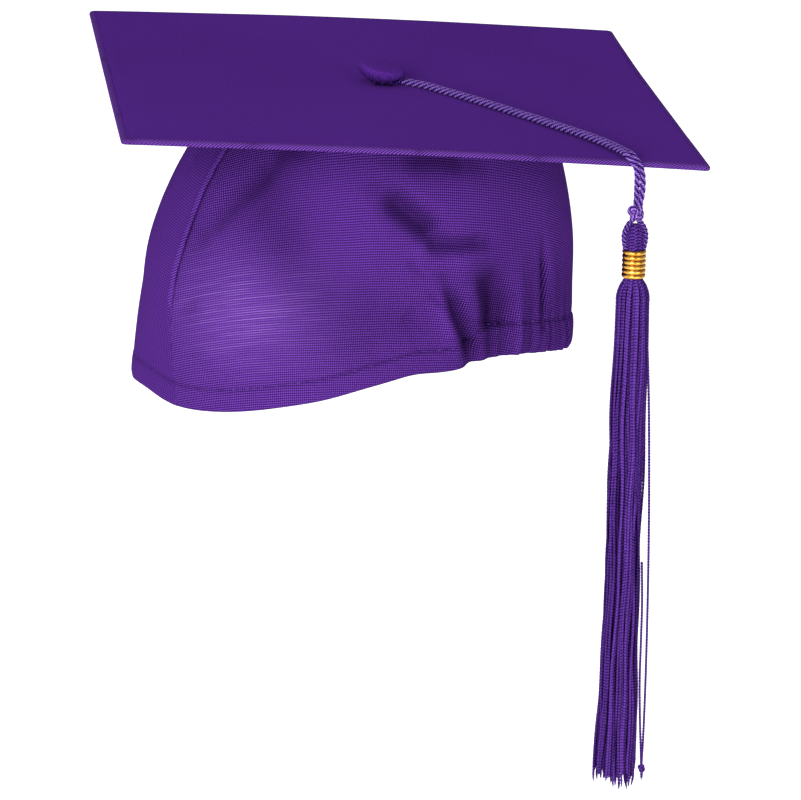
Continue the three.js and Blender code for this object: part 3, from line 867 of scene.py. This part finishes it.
def hem_depth(degrees):
    """How far below the board's top the hem hangs: smooth waves and four local sags."""
    smooth = sum(wave * np.cos(k * np.radians(degrees)) for k, wave in enumerate(HEM_WAVES))
    side = off_front(degrees)
    return smooth + sum(drop * hump(side, middle, width) for drop, middle, width in HEM_SAGS)


def seam_angle(below):
    return 25 + 8 * ((below - 70) / 65) ** 2


def plain_crown(degrees, below):
    """The crown's smooth surface, in millimetres from the centre of the board's top."""
    angle = np.radians(degrees)
    front, back = reach_at(FRONT_REACH, below), reach_at(BACK_REACH, below)
    width = reach_at(SIDE_REACH, below)
    middle, half = (back - front) / 2, (back + front) / 2
    return np.stack([width * np.sin(angle), middle - half * np.cos(angle), -below], -1)


# Each fold: its line as (degrees, depth) points, how deep it presses in, and how wide it is.
LEFT_FOLDS = [
    ([(106.0, 65), (110.6, 81.8), (115.2, 95.3), (117, 106)], 6.2, 3.3),
    ([(102.8, 70), (107.0, 83), (111.2, 95)], -2.2, 3.8),
    ([(84.0, 29), (92.7, 37.1), (100.0, 44.3), (103.2, 50)], 7.6, 5.4),
    ([(96, 50), (101, 56)], -1.2, 4.0),
    ([(102.6, 51.8), (111.2, 51.6), (119, 50.6)], 3.8, 2.7),
    ([(104, 58.5), (112, 57.8), (121, 56.5)], -1.5, 3.5),
    ([(118.6, 59), (120.4, 68), (122.6, 80), (123, 94)], 6.6, 8.2),
    ([(113.2, 64), (116.2, 76), (118.0, 88)], -1.6, 3.2),
    ([(129, 62), (130, 80), (129, 94)], -1.0, 4.5),
    ([(142.3, 55), (142.4, 76.6), (142.0, 92)], 4.4, 2.5),
    ([(147, 60), (147, 90)], -0.9, 3.0),
    ([(101.5, 70.8), (105.3, 77.5)], 1.3, 1.9),
    ([(94.7, 57.5), (99, 64)], 1.0, 2.0),
    ([(95, 81), (99, 84)], 1.2, 5.5),
    ([(38, 106), (39, 111)], 0.9, 6.0),
    ([(53.5, 16), (46.3, 32), (39.8, 42.9), (31, 61)], 3.0, 5.5),
    ([(51, 44.5), (60.2, 56.6), (67.9, 70.9), (83, 74)], 2.0, 11),
    ([(44, 18), (62, 15)], 2.6, 5.5),
    ([(88, 17), (104, 15), (117, 18)], 4.6, 6.0),
    ([(30, 88), (36, 92)], 1.2, 4.5),
    ([(88, 100), (100, 92)], -1.2, 9),
]
RIGHT_FOLDS = [
    ([(108, 66), (112, 80), (115.5, 94), (117, 106)], 4.2, 3.6),
    ([(104, 70), (109, 85), (112, 96)], -1.6, 3.8),
    ([(80, 34), (90, 41), (98, 52)], 3.6, 6.0),
    ([(121, 58), (123, 74), (123, 92)], 3.8, 6.5),
    ([(135, 50), (137, 70), (138, 90)], 2.8, 3.2),
    ([(100, 20), (112, 18)], 2.6, 6.0),
    ([(52, 20), (44, 36), (36, 55)], 1.5, 4.8),
    ([(55, 48), (66, 66), (80, 76)], 1.8, 11),
    ([(92, 62), (99, 74)], 1.2, 2.4),
    ([(158, 52), (157, 72), (156, 90)], 2.0, 3.4),
]
FRONT_FOLDS = [
    ([(-10, 20), (-4, 42), (-2, 60)], 1.0, 7),
    ([(14, 18), (10, 36)], 1.0, 5),
    ([(-18, 90), (0, 98), (18, 92)], 0.8, 12),
]


def press(degrees, below, folds):
    """Total inward press of the folds, fading at each fold's ends."""
    total = np.zeros(np.broadcast(degrees, below).shape)
    for line, depth, width in folds:
        points = np.array([(a * ARC, d) for a, d in line])
        spans = np.linalg.norm(np.diff(points, axis=0), axis=1)
        starts = np.concatenate([[0], np.cumsum(spans)])
        nearest = np.full(total.shape, 1e9)
        along = np.zeros(total.shape)
        for a, b, first, span in zip(points[:-1], points[1:], starts, spans):
            across = degrees * ARC - a[0]
            down = below - a[1]
            t = np.clip((across * (b - a)[0] + down * (b - a)[1]) / span**2, 0, 1)
            gap = np.hypot(across - t * (b - a)[0], down - t * (b - a)[1])
            closer = gap < nearest
            nearest = np.where(closer, gap, nearest)
            along = np.where(closer, first + t * span, along)
        share = along / starts[-1]
        fade = np.clip(share / 0.3, 0.25, 1) * np.clip((1 - share) / 0.2, 0.55, 1)
        total += depth * fade * hump(nearest, 0, width)
    return total


def gathers(degrees, below):
    """Small puckers over the elastic, strongest at the hem and fading upwards."""
    back = off_front(degrees)
    inside = np.clip((back - ELASTIC_START - 1) / 4, 0, 1)
    height = hem_depth(degrees) - below
    fade = np.exp(-np.maximum(0, height - CASING_WIDTH) / 16)
    ripple = (np.sin(back * 1.02 + 0.8 * np.sin(back * 0.31)) * 0.6 + np.sin(back * 1.83 + 1.1) * 0.35
              + np.sin(back * 0.53 + 2) * 0.5)
    pucker = np.sin(back * 2.9 + 2.2 * np.sin(back * 0.7)) * 0.3 * (height < CASING_WIDTH + 3)
    return inside * (fade * ripple * 0.6 + pucker * 0.55)


def relief(degrees, below, folds, lap):
    """How far the cloth stands out from the smooth crown, in millimetres.

    lap is above zero for the front panel, which laps over the seam; the other pieces sink beside it.
    """
    height = hem_depth(degrees) - below
    side = off_front(degrees)
    out = -press(degrees, below, folds) + gathers(degrees, below)
    band = np.where(side > ELASTIC_START, CASING_WIDTH, HEM_WIDTH)
    puff = np.where(side > ELASTIC_START, 0.9, 0.35)
    inside = np.clip(height / band, 0, 1)
    out += puff * np.sin(math.pi * inside) ** 0.6 * (height < band)
    out -= 0.45 * hump(height, band, 0.9)  # drawn in by the stitches
    out -= 0.4 * hump(height, 0, 1.6)  # rounded at the hem's edge
    beyond = (side - seam_angle(below)) * ARC
    if lap > 0:
        out += (0.2 + 0.5 * fading(below, 88, 5)) * hump(np.minimum(beyond + 1.5, 0), 0, 2.2)
    else:
        out -= (0.15 + 0.25 * fading(below, 88, 5)) * hump(beyond, 0, 1.6)
    out += 1.6 * hump(below, 45, 38) * hump(side, 0, 45)  # the front stands fuller than the ellipse
    out += 2.2 * hump(below, 88, 26) * hump(side, 0, 34)
    out -= 1.0 * hump(below, 86, 20) * np.clip((side - 140) / 20, 0, 1)  # the back is drawn in
    out -= 1.6 * np.exp(-np.maximum(0, below - 3.8) / 2.2)  # tucked in under the board
    turned = np.where(degrees > 180, degrees - 360, degrees)
    drift = np.sin(turned * 0.21 + below * 0.05) * 0.35 + np.sin(turned * 0.11 - below * 0.09 + 1.3) * 0.45
    return out + drift * np.clip((180 - side) / 25, 0, 1)


def crown_cloth_points(degrees, below, inset, folds, lap):
    """Points on the draped crown, inset along its normal; all arrays, in metres."""
    point = plain_crown(degrees, below)
    step = 0.05
    around = plain_crown(degrees + step, below) - point
    down = plain_crown(degrees, below + step) - point
    normal = np.cross(down, around)
    normal /= np.linalg.norm(normal, axis=-1)[..., None]
    normal *= np.sign((normal[..., :2] * point[..., :2]).sum(-1))[..., None]
    stand = relief(degrees, below, folds, lap) - inset
    placed = point + normal * stand[..., None]
    placed[..., 2] += board_bow(placed[..., 0], placed[..., 1]) * np.exp(-np.maximum(0, below - 3.8) / 7)
    return placed * MM + np.array(BOARD)


def weave_grain(degrees, below, tilt):
    """Where a point lies on the flat cloth. The weft climbs from the front seam and levels off."""
    around = np.abs(degrees) * ARC
    slope = tilt - 0.0045 * around * (tilt > 0)
    weft = below + tilt * around - 0.00225 * around**2 * (tilt > 0)
    eased = np.where(around < 110, 0.62 * around + 0.00173 * around**2, around - 20.9)
    return np.stack([eased - 0.7 * slope * below, weft, np.zeros_like(around)], -1)


def weft_shine(degrees, below):
    """Where the weft threads catch the light: low on the panel, just behind the front seam."""
    return hump(np.abs(degrees), 52, 22) * hump(below, 88, 22)


def painted_fold_shade(degrees, below, folds, lap):
    """How much painted shade darkens the cloth at a point: in folds, at the hem's stitch line, over the
    elastic, low at the back and just under the board; the crests of the elastic's puckers get painted
    highlight.

    lap below zero marks a side panel, which also gets painted shade along its seam and in two broad hollows.
    """
    side = np.abs(degrees)
    painted_shade = np.clip(press(degrees, below, folds) / 9.5, -0.35, 0.75)
    height = hem_depth(degrees) - below
    band = np.where(off_front(degrees) > ELASTIC_START, CASING_WIDTH, HEM_WIDTH)
    painted_shade += 0.4 * hump(height, band, 0.9) - 0.35 * gathers(degrees, below)
    painted_shade += 0.3 * np.clip((side - 108) / 10, 0, 1) * np.clip((below - 58) / 20, 0, 1)
    painted_shade += 0.16 * np.exp(-np.maximum(0, below - 4) / 22)
    if lap < 0:
        beyond = np.maximum(0, side - seam_angle(below)) * ARC
        painted_shade += 0.8 * fading(below, 90, 4) * hump(beyond, 0, 1.5)
        painted_shade += 0.3 * fading(below, 75, 8) * hump(beyond, 0, 14)
        painted_shade += 0.45 * hump(side - 0.35 * (below - 42), 52, 13) * hump(below, 42, 24)
        painted_shade += 0.42 * hump(side, 88, 20) * hump(below, 92, 20)
    return painted_shade


def cloth_panel(name, first, last, top, bottom, inset, thickness, columns, rows, folds, lap, tilt, material):
    """A closed sheet between two edges; every edge is a function of depth or angle."""
    share = np.linspace(0, 1, columns)[None, :]
    level = np.linspace(0, 1, rows)[:, None]
    below = np.full((rows, columns), 70.0)
    for _ in range(8):
        degrees = first(below) * (1 - share) + last(below) * share
        below = top(degrees) * (1 - level) + bottom(degrees) * level
    layers = []
    for depth in (inset, inset + thickness):
        layers.append(crown_cloth_points(degrees, below, depth, folds, lap).reshape(-1, 3))
    size = rows * columns
    grain = weave_grain(degrees, below, tilt).reshape(-1, 3)
    # painted highlight: where the weft threads are shown lit
    shine = np.tile(weft_shine(degrees, below).ravel() * (tilt > 0), 2)
    # painted shade in folds, at the hem, over the elastic and along the seams
    fold_shade = np.tile(painted_fold_shade(degrees, below, folds, lap).ravel(), 2)
    faces = grid_faces(rows, columns)
    faces += grid_faces(rows, columns, start=size, flip=True)
    border = list(range(columns - 1)) + [i * columns + columns - 1 for i in range(rows - 1)]
    border += [(rows - 1) * columns + j for j in range(columns - 1, 0, -1)]
    border += [i * columns for i in range(rows - 1, 0, -1)]
    for k, a in enumerate(border):
        b = border[(k + 1) % len(border)]
        faces.append((b, a, a + size, b + size))
    made = new_mesh(name, np.concatenate(layers), faces, material, np.concatenate([grain, grain]))
    add_layer(made, "shine", shine)
    add_layer(made, "fold_shade", fold_shade)
    return made


def constant(value):
    return lambda _: np.full(np.shape(_), float(value))


def hem_less(rise):
    return lambda degrees: hem_depth(degrees) - rise


def past_seam(side, extra):
    return lambda below: side * (seam_angle(below) + extra)


CROWN_TOP = (BOARD.z - BOARD_BOTTOM) / MM + 0.25
CLOTH = 0.7
LINING_INSET = 1.0


def make_front():
    panel = cloth_panel("front_panel_cloth", past_seam(-1, 0.9), past_seam(1, 0.9), constant(CROWN_TOP),
                        hem_less(0), 0, CLOTH, 90, 150, FRONT_FOLDS, 1, FRONT_TILT, front_cloth)
    attach(panel, "cap", "crown_cloth", "crown_front_panel")
    hem = cloth_panel("front_hem_cloth", past_seam(-1, -4), past_seam(1, -4), hem_less(HEM_WIDTH),
                      hem_less(0.25), LINING_INSET, CLOTH, 60, 10, FRONT_FOLDS, 1, FRONT_TILT, front_cloth)
    attach(hem, "cap", "crown_cloth", "front_hem")


def make_seam_lips():
    """The folded edge of the front panel, lapped over each side panel; its twill shows as dashes."""
    for side, word in ((1, "left"), (-1, "right")):
        lip = cloth_panel(f"{word}_seam_lip", past_seam(side, -0.9), past_seam(side, 0.97),
                          constant(CROWN_TOP + 1), constant(94), -0.2, 0.18, 8, 110, FRONT_FOLDS, 1, 0,
                          seam_cloth)
        for entry in lip.data.attributes["cloth"].data:
            around, down, _ = entry.vector
            entry.vector = (down + 0.9 * around, 0.325, 0)
        attach(lip, "cap", "crown_cloth")


def make_side(side, word, folds):
    turned = folds_for(side, folds)
    panel = cloth_panel(f"{word}_panel_cloth", past_seam(side, 0.0), constant(side * 179.95),
                        constant(CROWN_TOP), hem_less(0), 0, CLOTH, 300, 170, turned, -1, SIDE_TILT,
                        crown_cloth)
    attach(panel, "cap", "crown_cloth", f"crown_{word}_panel")
    hem = cloth_panel(f"{word}_hem_cloth", past_seam(side, 4), constant(side * (ELASTIC_START - 0.5)),
                      hem_less(HEM_WIDTH), hem_less(0.25), LINING_INSET, CLOTH, 140, 10, turned, -1,
                      SIDE_TILT, crown_cloth)
    attach(hem, "cap", "crown_cloth", f"{word}_hem")
    allowance = cloth_panel(f"{word}_seam_cloth", past_seam(side, -3.5), past_seam(side, 3.5),
                            constant(CROWN_TOP + 4), hem_less(HEM_WIDTH + 1), LINING_INSET + 1.2, CLOTH,
                            8, 90, [], 0, SIDE_TILT, crown_cloth)
    attach(allowance, "cap", "crown_cloth", f"seam_allowance_{word}")


def folds_for(side, folds):
    return [([(side * a, d) for a, d in line], depth, width) for line, depth, width in folds]


def folds_round_back():
    """Folds for a piece that crosses the back: the left list, then the right one."""
    wrapped = [([(360 - a, d) for a, d in line], depth, width) for line, depth, width in RIGHT_FOLDS]
    return LEFT_FOLDS + wrapped


def make_back_pieces():
    """What lies behind the centre-back seam: its allowance, the elastic and its casing."""
    low, high = ELASTIC_START + 0.5, 360 - ELASTIC_START - 0.5
    rows = (
        ("back_seam_cloth", 176.5, 183.5, constant(CROWN_TOP + 4), hem_less(CASING_WIDTH + 1),
         LINING_INSET, 8, 90, crown_cloth, "crown_cloth", "seam_allowance_back"),
        ("elastic_strip", low + 2.5, high - 2.5, hem_less(CASING_WIDTH - 3), hem_less(3),
         LINING_INSET + 0.2, 260, 12, elastic_web, "elastic_web", "elastic_band"),
        ("casing_cloth", low, high, hem_less(CASING_WIDTH), hem_less(0.3),
         LINING_INSET + 1.6, 260, 12, crown_cloth, "crown_cloth", "elastic_casing"),
    )
    for name, first, last, top, bottom, inset, columns, count, material, slot, node in rows:
        piece = cloth_panel(name, constant(first), constant(last), top, bottom, inset, CLOTH, columns,
                            count, folds_round_back(), 0, 0, material)
        attach(piece, "cap", slot, node)


def make_stitches():
    """Two rows of hem stitching: one round the hem, one round the elastic casing."""
    parts = Parts()
    rng = random.Random(5)
    for low, high, rise, side, folds in (
        (-24, 24, HEM_WIDTH, 0, FRONT_FOLDS),
        (38, ELASTIC_START - 1, HEM_WIDTH, 1, LEFT_FOLDS),
        (ELASTIC_START + 1, 179, CASING_WIDTH, 1, LEFT_FOLDS),
        (38, ELASTIC_START - 1, HEM_WIDTH, -1, RIGHT_FOLDS),
        (ELASTIC_START + 1, 179, CASING_WIDTH, -1, RIGHT_FOLDS),
    ):
        pitch = 2.9 / ARC
        degrees = low
        while degrees + pitch < high:
            angles = np.linspace(degrees, degrees + pitch * 0.76, 5) * (side or 1)
            below = hem_depth(angles) - rise
            sink = np.array([0.55, 0.0, -0.16, 0.0, 0.55])
            used = folds_for(side, folds) if side else folds
            line = crown_cloth_points(angles, below, sink, used, 1 if side == 0 else -1)
            lobed_tube(parts, line, 0.24 * MM, 6, 1.5 * MM, 0.1, rng.uniform(0.3, 0.8))
            degrees += pitch
    stitches = parts.build("hem_stitches", stitch_thread)
    attach(stitches, "cap", "crown_cloth")


# ---- Board and button --------------------------------------------------------------
CORNER_RADIUS = 2.0
EDGE_ROUND = 1.2
LOWER_ROUND = 0.7
BUTTON_SIDES = 72
SIDE_STEPS = 60
CORNER_STEPS = 10
RING_POINTS = 4 * (SIDE_STEPS + CORNER_STEPS)


def square_ring(half):
    """Points round a square with rounded corners, in millimetres."""
    inner = half - CORNER_RADIUS
    points = []
    for side in range(4):
        turn = side * math.pi / 2
        spots = [(half, -inner + 2 * inner * i / SIDE_STEPS) for i in range(SIDE_STEPS)]
        for i in range(CORNER_STEPS):
            angle = i / CORNER_STEPS * math.pi / 2
            spots.append((inner + CORNER_RADIUS * math.cos(angle), inner + CORNER_RADIUS * math.sin(angle)))
        c, s = math.cos(turn), math.sin(turn)
        points += [(x * c - y * s, x * s + y * c) for x, y in spots]
    return np.array(points)


def square_sheet(name, outline, material, ripple=0.0):
    """A closed cover whose outline of (reach, height) points is carried round the square."""
    points, cloth = [], []
    length = 0.0
    wave = np.random.default_rng(2).uniform(0, 6.28, 4)
    for i, (reach, height) in enumerate(outline):
        if i:
            length += abs(reach - outline[i - 1][0]) + abs(height - outline[i - 1][1])
        ring = square_ring(reach)
        x, y = ring[:, 0], ring[:, 1]
        swell = np.sin(x * 0.05 + wave[0]) * np.sin(y * 0.043 + wave[1])
        swell += 0.5 * np.sin(x * 0.11 + y * 0.09 + wave[2])
        for a, b, c in zip(x, y, board_bow(x, y) + height + ripple * swell):
            points.append(on_board(a, b, c))
            cloth.append((a, b - height, length))
    return new_mesh(name, points, loop_faces(len(outline), RING_POINTS), material, cloth)


def wrap_edge_cloth(cover, first, last):
    """Turns the cloth on the board's edge to the bias, where its twill shows as short slants."""
    # the darker edge cloth: painted shade on the board's edge
    cover.data.materials.append(edge_cloth)
    layer = cover.data.attributes["cloth"].data
    for polygon in cover.data.polygons:
        if first <= polygon.index // RING_POINTS < last - 1:
            polygon.material_index = 1
    for index in range(first * RING_POINTS, last * RING_POINTS):
        x, y, length = layer[index].vector
        layer[index].vector = (x + y + 0.25 * length, 0.375, length)


def make_board():
    """The board: top cloth wrapped round its edge, stiffener inside, facing cloth below."""
    half = HALF_SIDE / MM
    thick = (BOARD.z - BOARD_BOTTOM) / MM
    lower = -thick + 0.85
    face = [(reach, 0.0) for reach in (2.4, 6, 12, 25, 45, 65, 85, 100, 108)]
    face += [(half - s, -0.4 * (1 - s / 9) ** 2) for s in (8.5, 7, 5.5, 4, 3, 2, 1.6)]
    edge = []
    for k in range(7):
        angle = k / 6 * math.pi / 2
        edge.append((half - EDGE_ROUND * (1 - math.sin(angle)), -0.38 + EDGE_ROUND * (math.cos(angle) - 1)))
    edge.append((half + 0.05, -thick / 2 - 0.1))
    for k in range(5):
        angle = k / 4 * math.pi / 2
        reach = half - LOWER_ROUND + LOWER_ROUND * math.cos(angle)
        edge.append((reach, lower + LOWER_ROUND - LOWER_ROUND * math.sin(angle)))
    tucked = [
        (half - 5, lower), (half - 10, lower), (half - 10, lower + 0.45), (half - 1.2, lower + 0.45),
        (half - 0.55, lower + 0.7), (half - 0.55, -1.4), (half - 1.4, -1.05), (half - 5, -0.75),
    ]
    back = [(reach, -0.55) for reach in (106, 100, 65, 25, 2.4)]
    cover = square_sheet("board_top_cloth", face + edge + tucked + back, board_cloth, 0.06)
    wrap_edge_cloth(cover, len(face) - 2, len(face) + len(edge))
    attach(cover, "cap", "board_cloth", "board_top_cover")
    core = square_sheet("board_stiffener", [
        (2.4, -0.65), (60, -0.65), (106, -0.65), (half - 1.6, -1.2), (half - 0.9, -1.6),
        (half - 1.6, lower + 0.55), (60, lower + 0.55), (2.4, lower + 0.55)], core_board)
    attach(core, "cap", "grey_board", "board_core")
    bottom = -thick + 0.25
    under = square_sheet("board_under_cloth", [
        (2.4, bottom + 0.45), (60, bottom + 0.45), (half - 6, bottom + 0.45), (half - 5.6, bottom + 0.22),
        (half - 6, bottom), (60, bottom), (2.4, bottom)], board_cloth, 0.05)
    attach(under, "cap", "board_cloth", "board_underside_cover")


def make_button():
    """The covered button: cloth drawn over a shallow dome and gathered under its rim."""
    tilt = Matrix.Rotation(math.radians(-7), 3, "X") @ Matrix.Rotation(math.radians(4), 3, "Y")
    height = (BUTTON_HIGH.z - BUTTON_LOW.z) / MM
    radius = (BUTTON_HIGH.x - BUTTON_LOW.x) / 2 / MM + 0.5
    seat = BUTTON + Vector((0, -0.4, 0.3)) * MM
    cord_way = math.atan2(CORD_ROUTE[1][1] - CORD_ROUTE[0][1], CORD_ROUTE[1][0] - CORD_ROUTE[0][0])

    def place(x, y, z):
        angle = math.atan2(y, x)
        reach = math.hypot(x, y)
        low = max(0.0, 1 - z / 2.4)
        pucker = 1 + 0.014 * low * math.sin(22 * angle) * (reach > radius * 0.5)
        off_cord = math.remainder(angle - cord_way, 2 * math.pi) * reach / 4.2
        if z < 1.6 and reach > radius * 0.55:
            z += 1.5 * min(1, (1.6 - z) / 1.2) * math.exp(-off_cord * off_cord)
        return seat + tilt @ Vector((x * pucker, y * pucker, z)) * MM

    outline = [(0.02, height)]
    for share in np.linspace(0.08, 0.88, 12):
        outline.append((radius * share, height - 0.55 * share**3))
    for k in range(1, 13):
        angle = math.radians(80 - k * 13.5)
        outline.append((radius * (0.88 + 0.12 * math.cos(angle)), height - 2.6 + 2.05 * math.sin(angle)))
    outline += [(radius * 0.9, -0.1), (radius * 0.82, -0.5), (radius * 0.58, -1.8), (radius * 0.55, -1.4)]
    outline += [(radius * 0.8, -0.1), (radius * 0.87, 0.6)]
    outline += [(radius * 0.93, height - 2.4), (radius * 0.9, height - 1.2), (radius * 0.7, height - 0.7)]
    outline += [(0.02, height - 0.45)]
    shell = [(0.02, height - 0.5), (radius * 0.7, height - 0.75), (radius * 0.89, height - 1.3)]
    shell += [(radius * 0.92, height - 2.4), (radius * 0.86, 1.2), (radius * 0.83, 0.62)]
    shell += [(radius * 0.78, 0.62)]
    shell += [(radius * 0.82, 1.2), (radius * 0.86, height - 2.4), (radius * 0.82, height - 1.7)]
    shell += [(radius * 0.65, height - 1.3), (0.02, height - 1.1)]
    plate = [(2.3, 0.55), (radius * 0.75, 0.55), (radius * 0.76, 0.8), (radius * 0.75, 1.05), (2.3, 1.05)]
    for name, shape, material, slot, node in (
        ("button_cover", outline, button_cloth, "board_cloth", "button_cloth"),
        ("button_dome", shell, steel, "steel", "button_shell"),
        ("button_plate", plate, steel, "steel", "button_back"),
    ):
        piece = turned_piece(name, shape, material, BUTTON_SIDES, place)
        if material is button_cloth:
            # painted shade: the cover is painted darker down its sides than on its top
            drop = np.clip([(height - z - 0.9) / 2.5 for _, z in shape], 0, 1) * 0.7
            add_layer(piece, "fold_shade", np.repeat(drop, BUTTON_SIDES))
        attach(piece, "cap", slot, node)


def dress_frame_nodes():
    """The CAD pieces that stay, each with its own finish."""
    finishes = {"button_rivet": steel, "rivet_washer": steel, "crown_top_lining": crown_cloth}
    for name, material in finishes.items():
        materials = frame["nodes"][name].data.materials
        materials.clear()
        materials.append(material)
    lining = frame["nodes"]["crown_top_lining"].data
    layer = lining.attributes.new("cloth", "FLOAT_VECTOR", "POINT")
    layer.data.foreach_set("vector", np.array([v.co / MM for v in lining.vertices], np.float32).ravel())


# ---- Studio ------------------------------------------------------------------------
FLOOR_DROP = 0.06
# Each light: azimuth and elevation in degrees, distance and size in metres, power in watts.
LIGHTS = {"key": (64, 16, 2.2, 0.9, 62), "fill": (120, 8, 2.4, 1.2, 22)}


def add_floor():
    bpy.ops.mesh.primitive_plane_add(size=60, location=(0, 0, CAD_BOX[0][2] - FLOOR_DROP))
    floor = bpy.context.object
    floor.name = "floor"
    n = Nodes("pale_floor")
    n.set(Roughness=0.9)
    n.shader.inputs["Base Color"].default_value = (0.92, 0.92, 0.92, 1)
    n.shader.inputs["Emission Color"].default_value = (1, 1, 1, 1)
    n.shader.inputs["Emission Strength"].default_value = 0.55
    floor.data.materials.append(n.material)


def add_light(name, azimuth, elevation, distance, size, power):
    data = bpy.data.lights.new(name, "AREA")
    data.size = size
    data.energy = power
    light = bpy.data.objects.new(name, data)
    a, e = math.radians(azimuth), math.radians(elevation)
    way = Vector((math.sin(a) * math.cos(e), -math.cos(a) * math.cos(e), math.sin(e)))
    light.location = Vector((0, 0, 0.02)) + way * distance
    light.rotation_euler = way.to_track_quat("Z", "Y").to_euler()
    bpy.context.scene.collection.objects.link(light)


def add_studio():
    """A white tent, brighter on the left of the camera, where the key light stands."""
    world = bpy.data.worlds.new("studio")
    world.use_nodes = True
    nodes, links = world.node_tree.nodes, world.node_tree.links
    way = nodes.new("ShaderNodeTexCoord")
    facing = nodes.new("ShaderNodeVectorMath")
    facing.operation = "DOT_PRODUCT"
    facing.inputs[1].default_value = (0.42, -0.78, 0.46)
    links.new(way.outputs["Generated"], facing.inputs[0])
    spread = nodes.new("ShaderNodeMapRange")
    spread.inputs["From Min"].default_value = -0.4
    spread.inputs["From Max"].default_value = 1.0
    spread.inputs["To Min"].default_value = 0.45
    spread.inputs["To Max"].default_value = 0.9
    links.new(facing.outputs["Value"], spread.inputs["Value"])
    links.new(spread.outputs["Result"], nodes["Background"].inputs["Strength"])
    nodes["Background"].inputs["Color"].default_value = (1, 1, 1, 1)
    bpy.context.scene.world = world
    for name, settings in LIGHTS.items():
        add_light(name, *settings)
    bpy.context.scene.view_settings.view_transform = "Standard"


add_camera()
make_cord_legs()
make_cord_loop()
make_knot()
make_eye()
make_head()
make_barrel()
make_skirt()
make_loose_strands()
make_front()
make_seam_lips()
make_side(1, "left", LEFT_FOLDS)
make_side(-1, "right", RIGHT_FOLDS)
make_back_pieces()
make_stitches()
make_board()
make_button()
dress_frame_nodes()
add_floor()
add_studio()
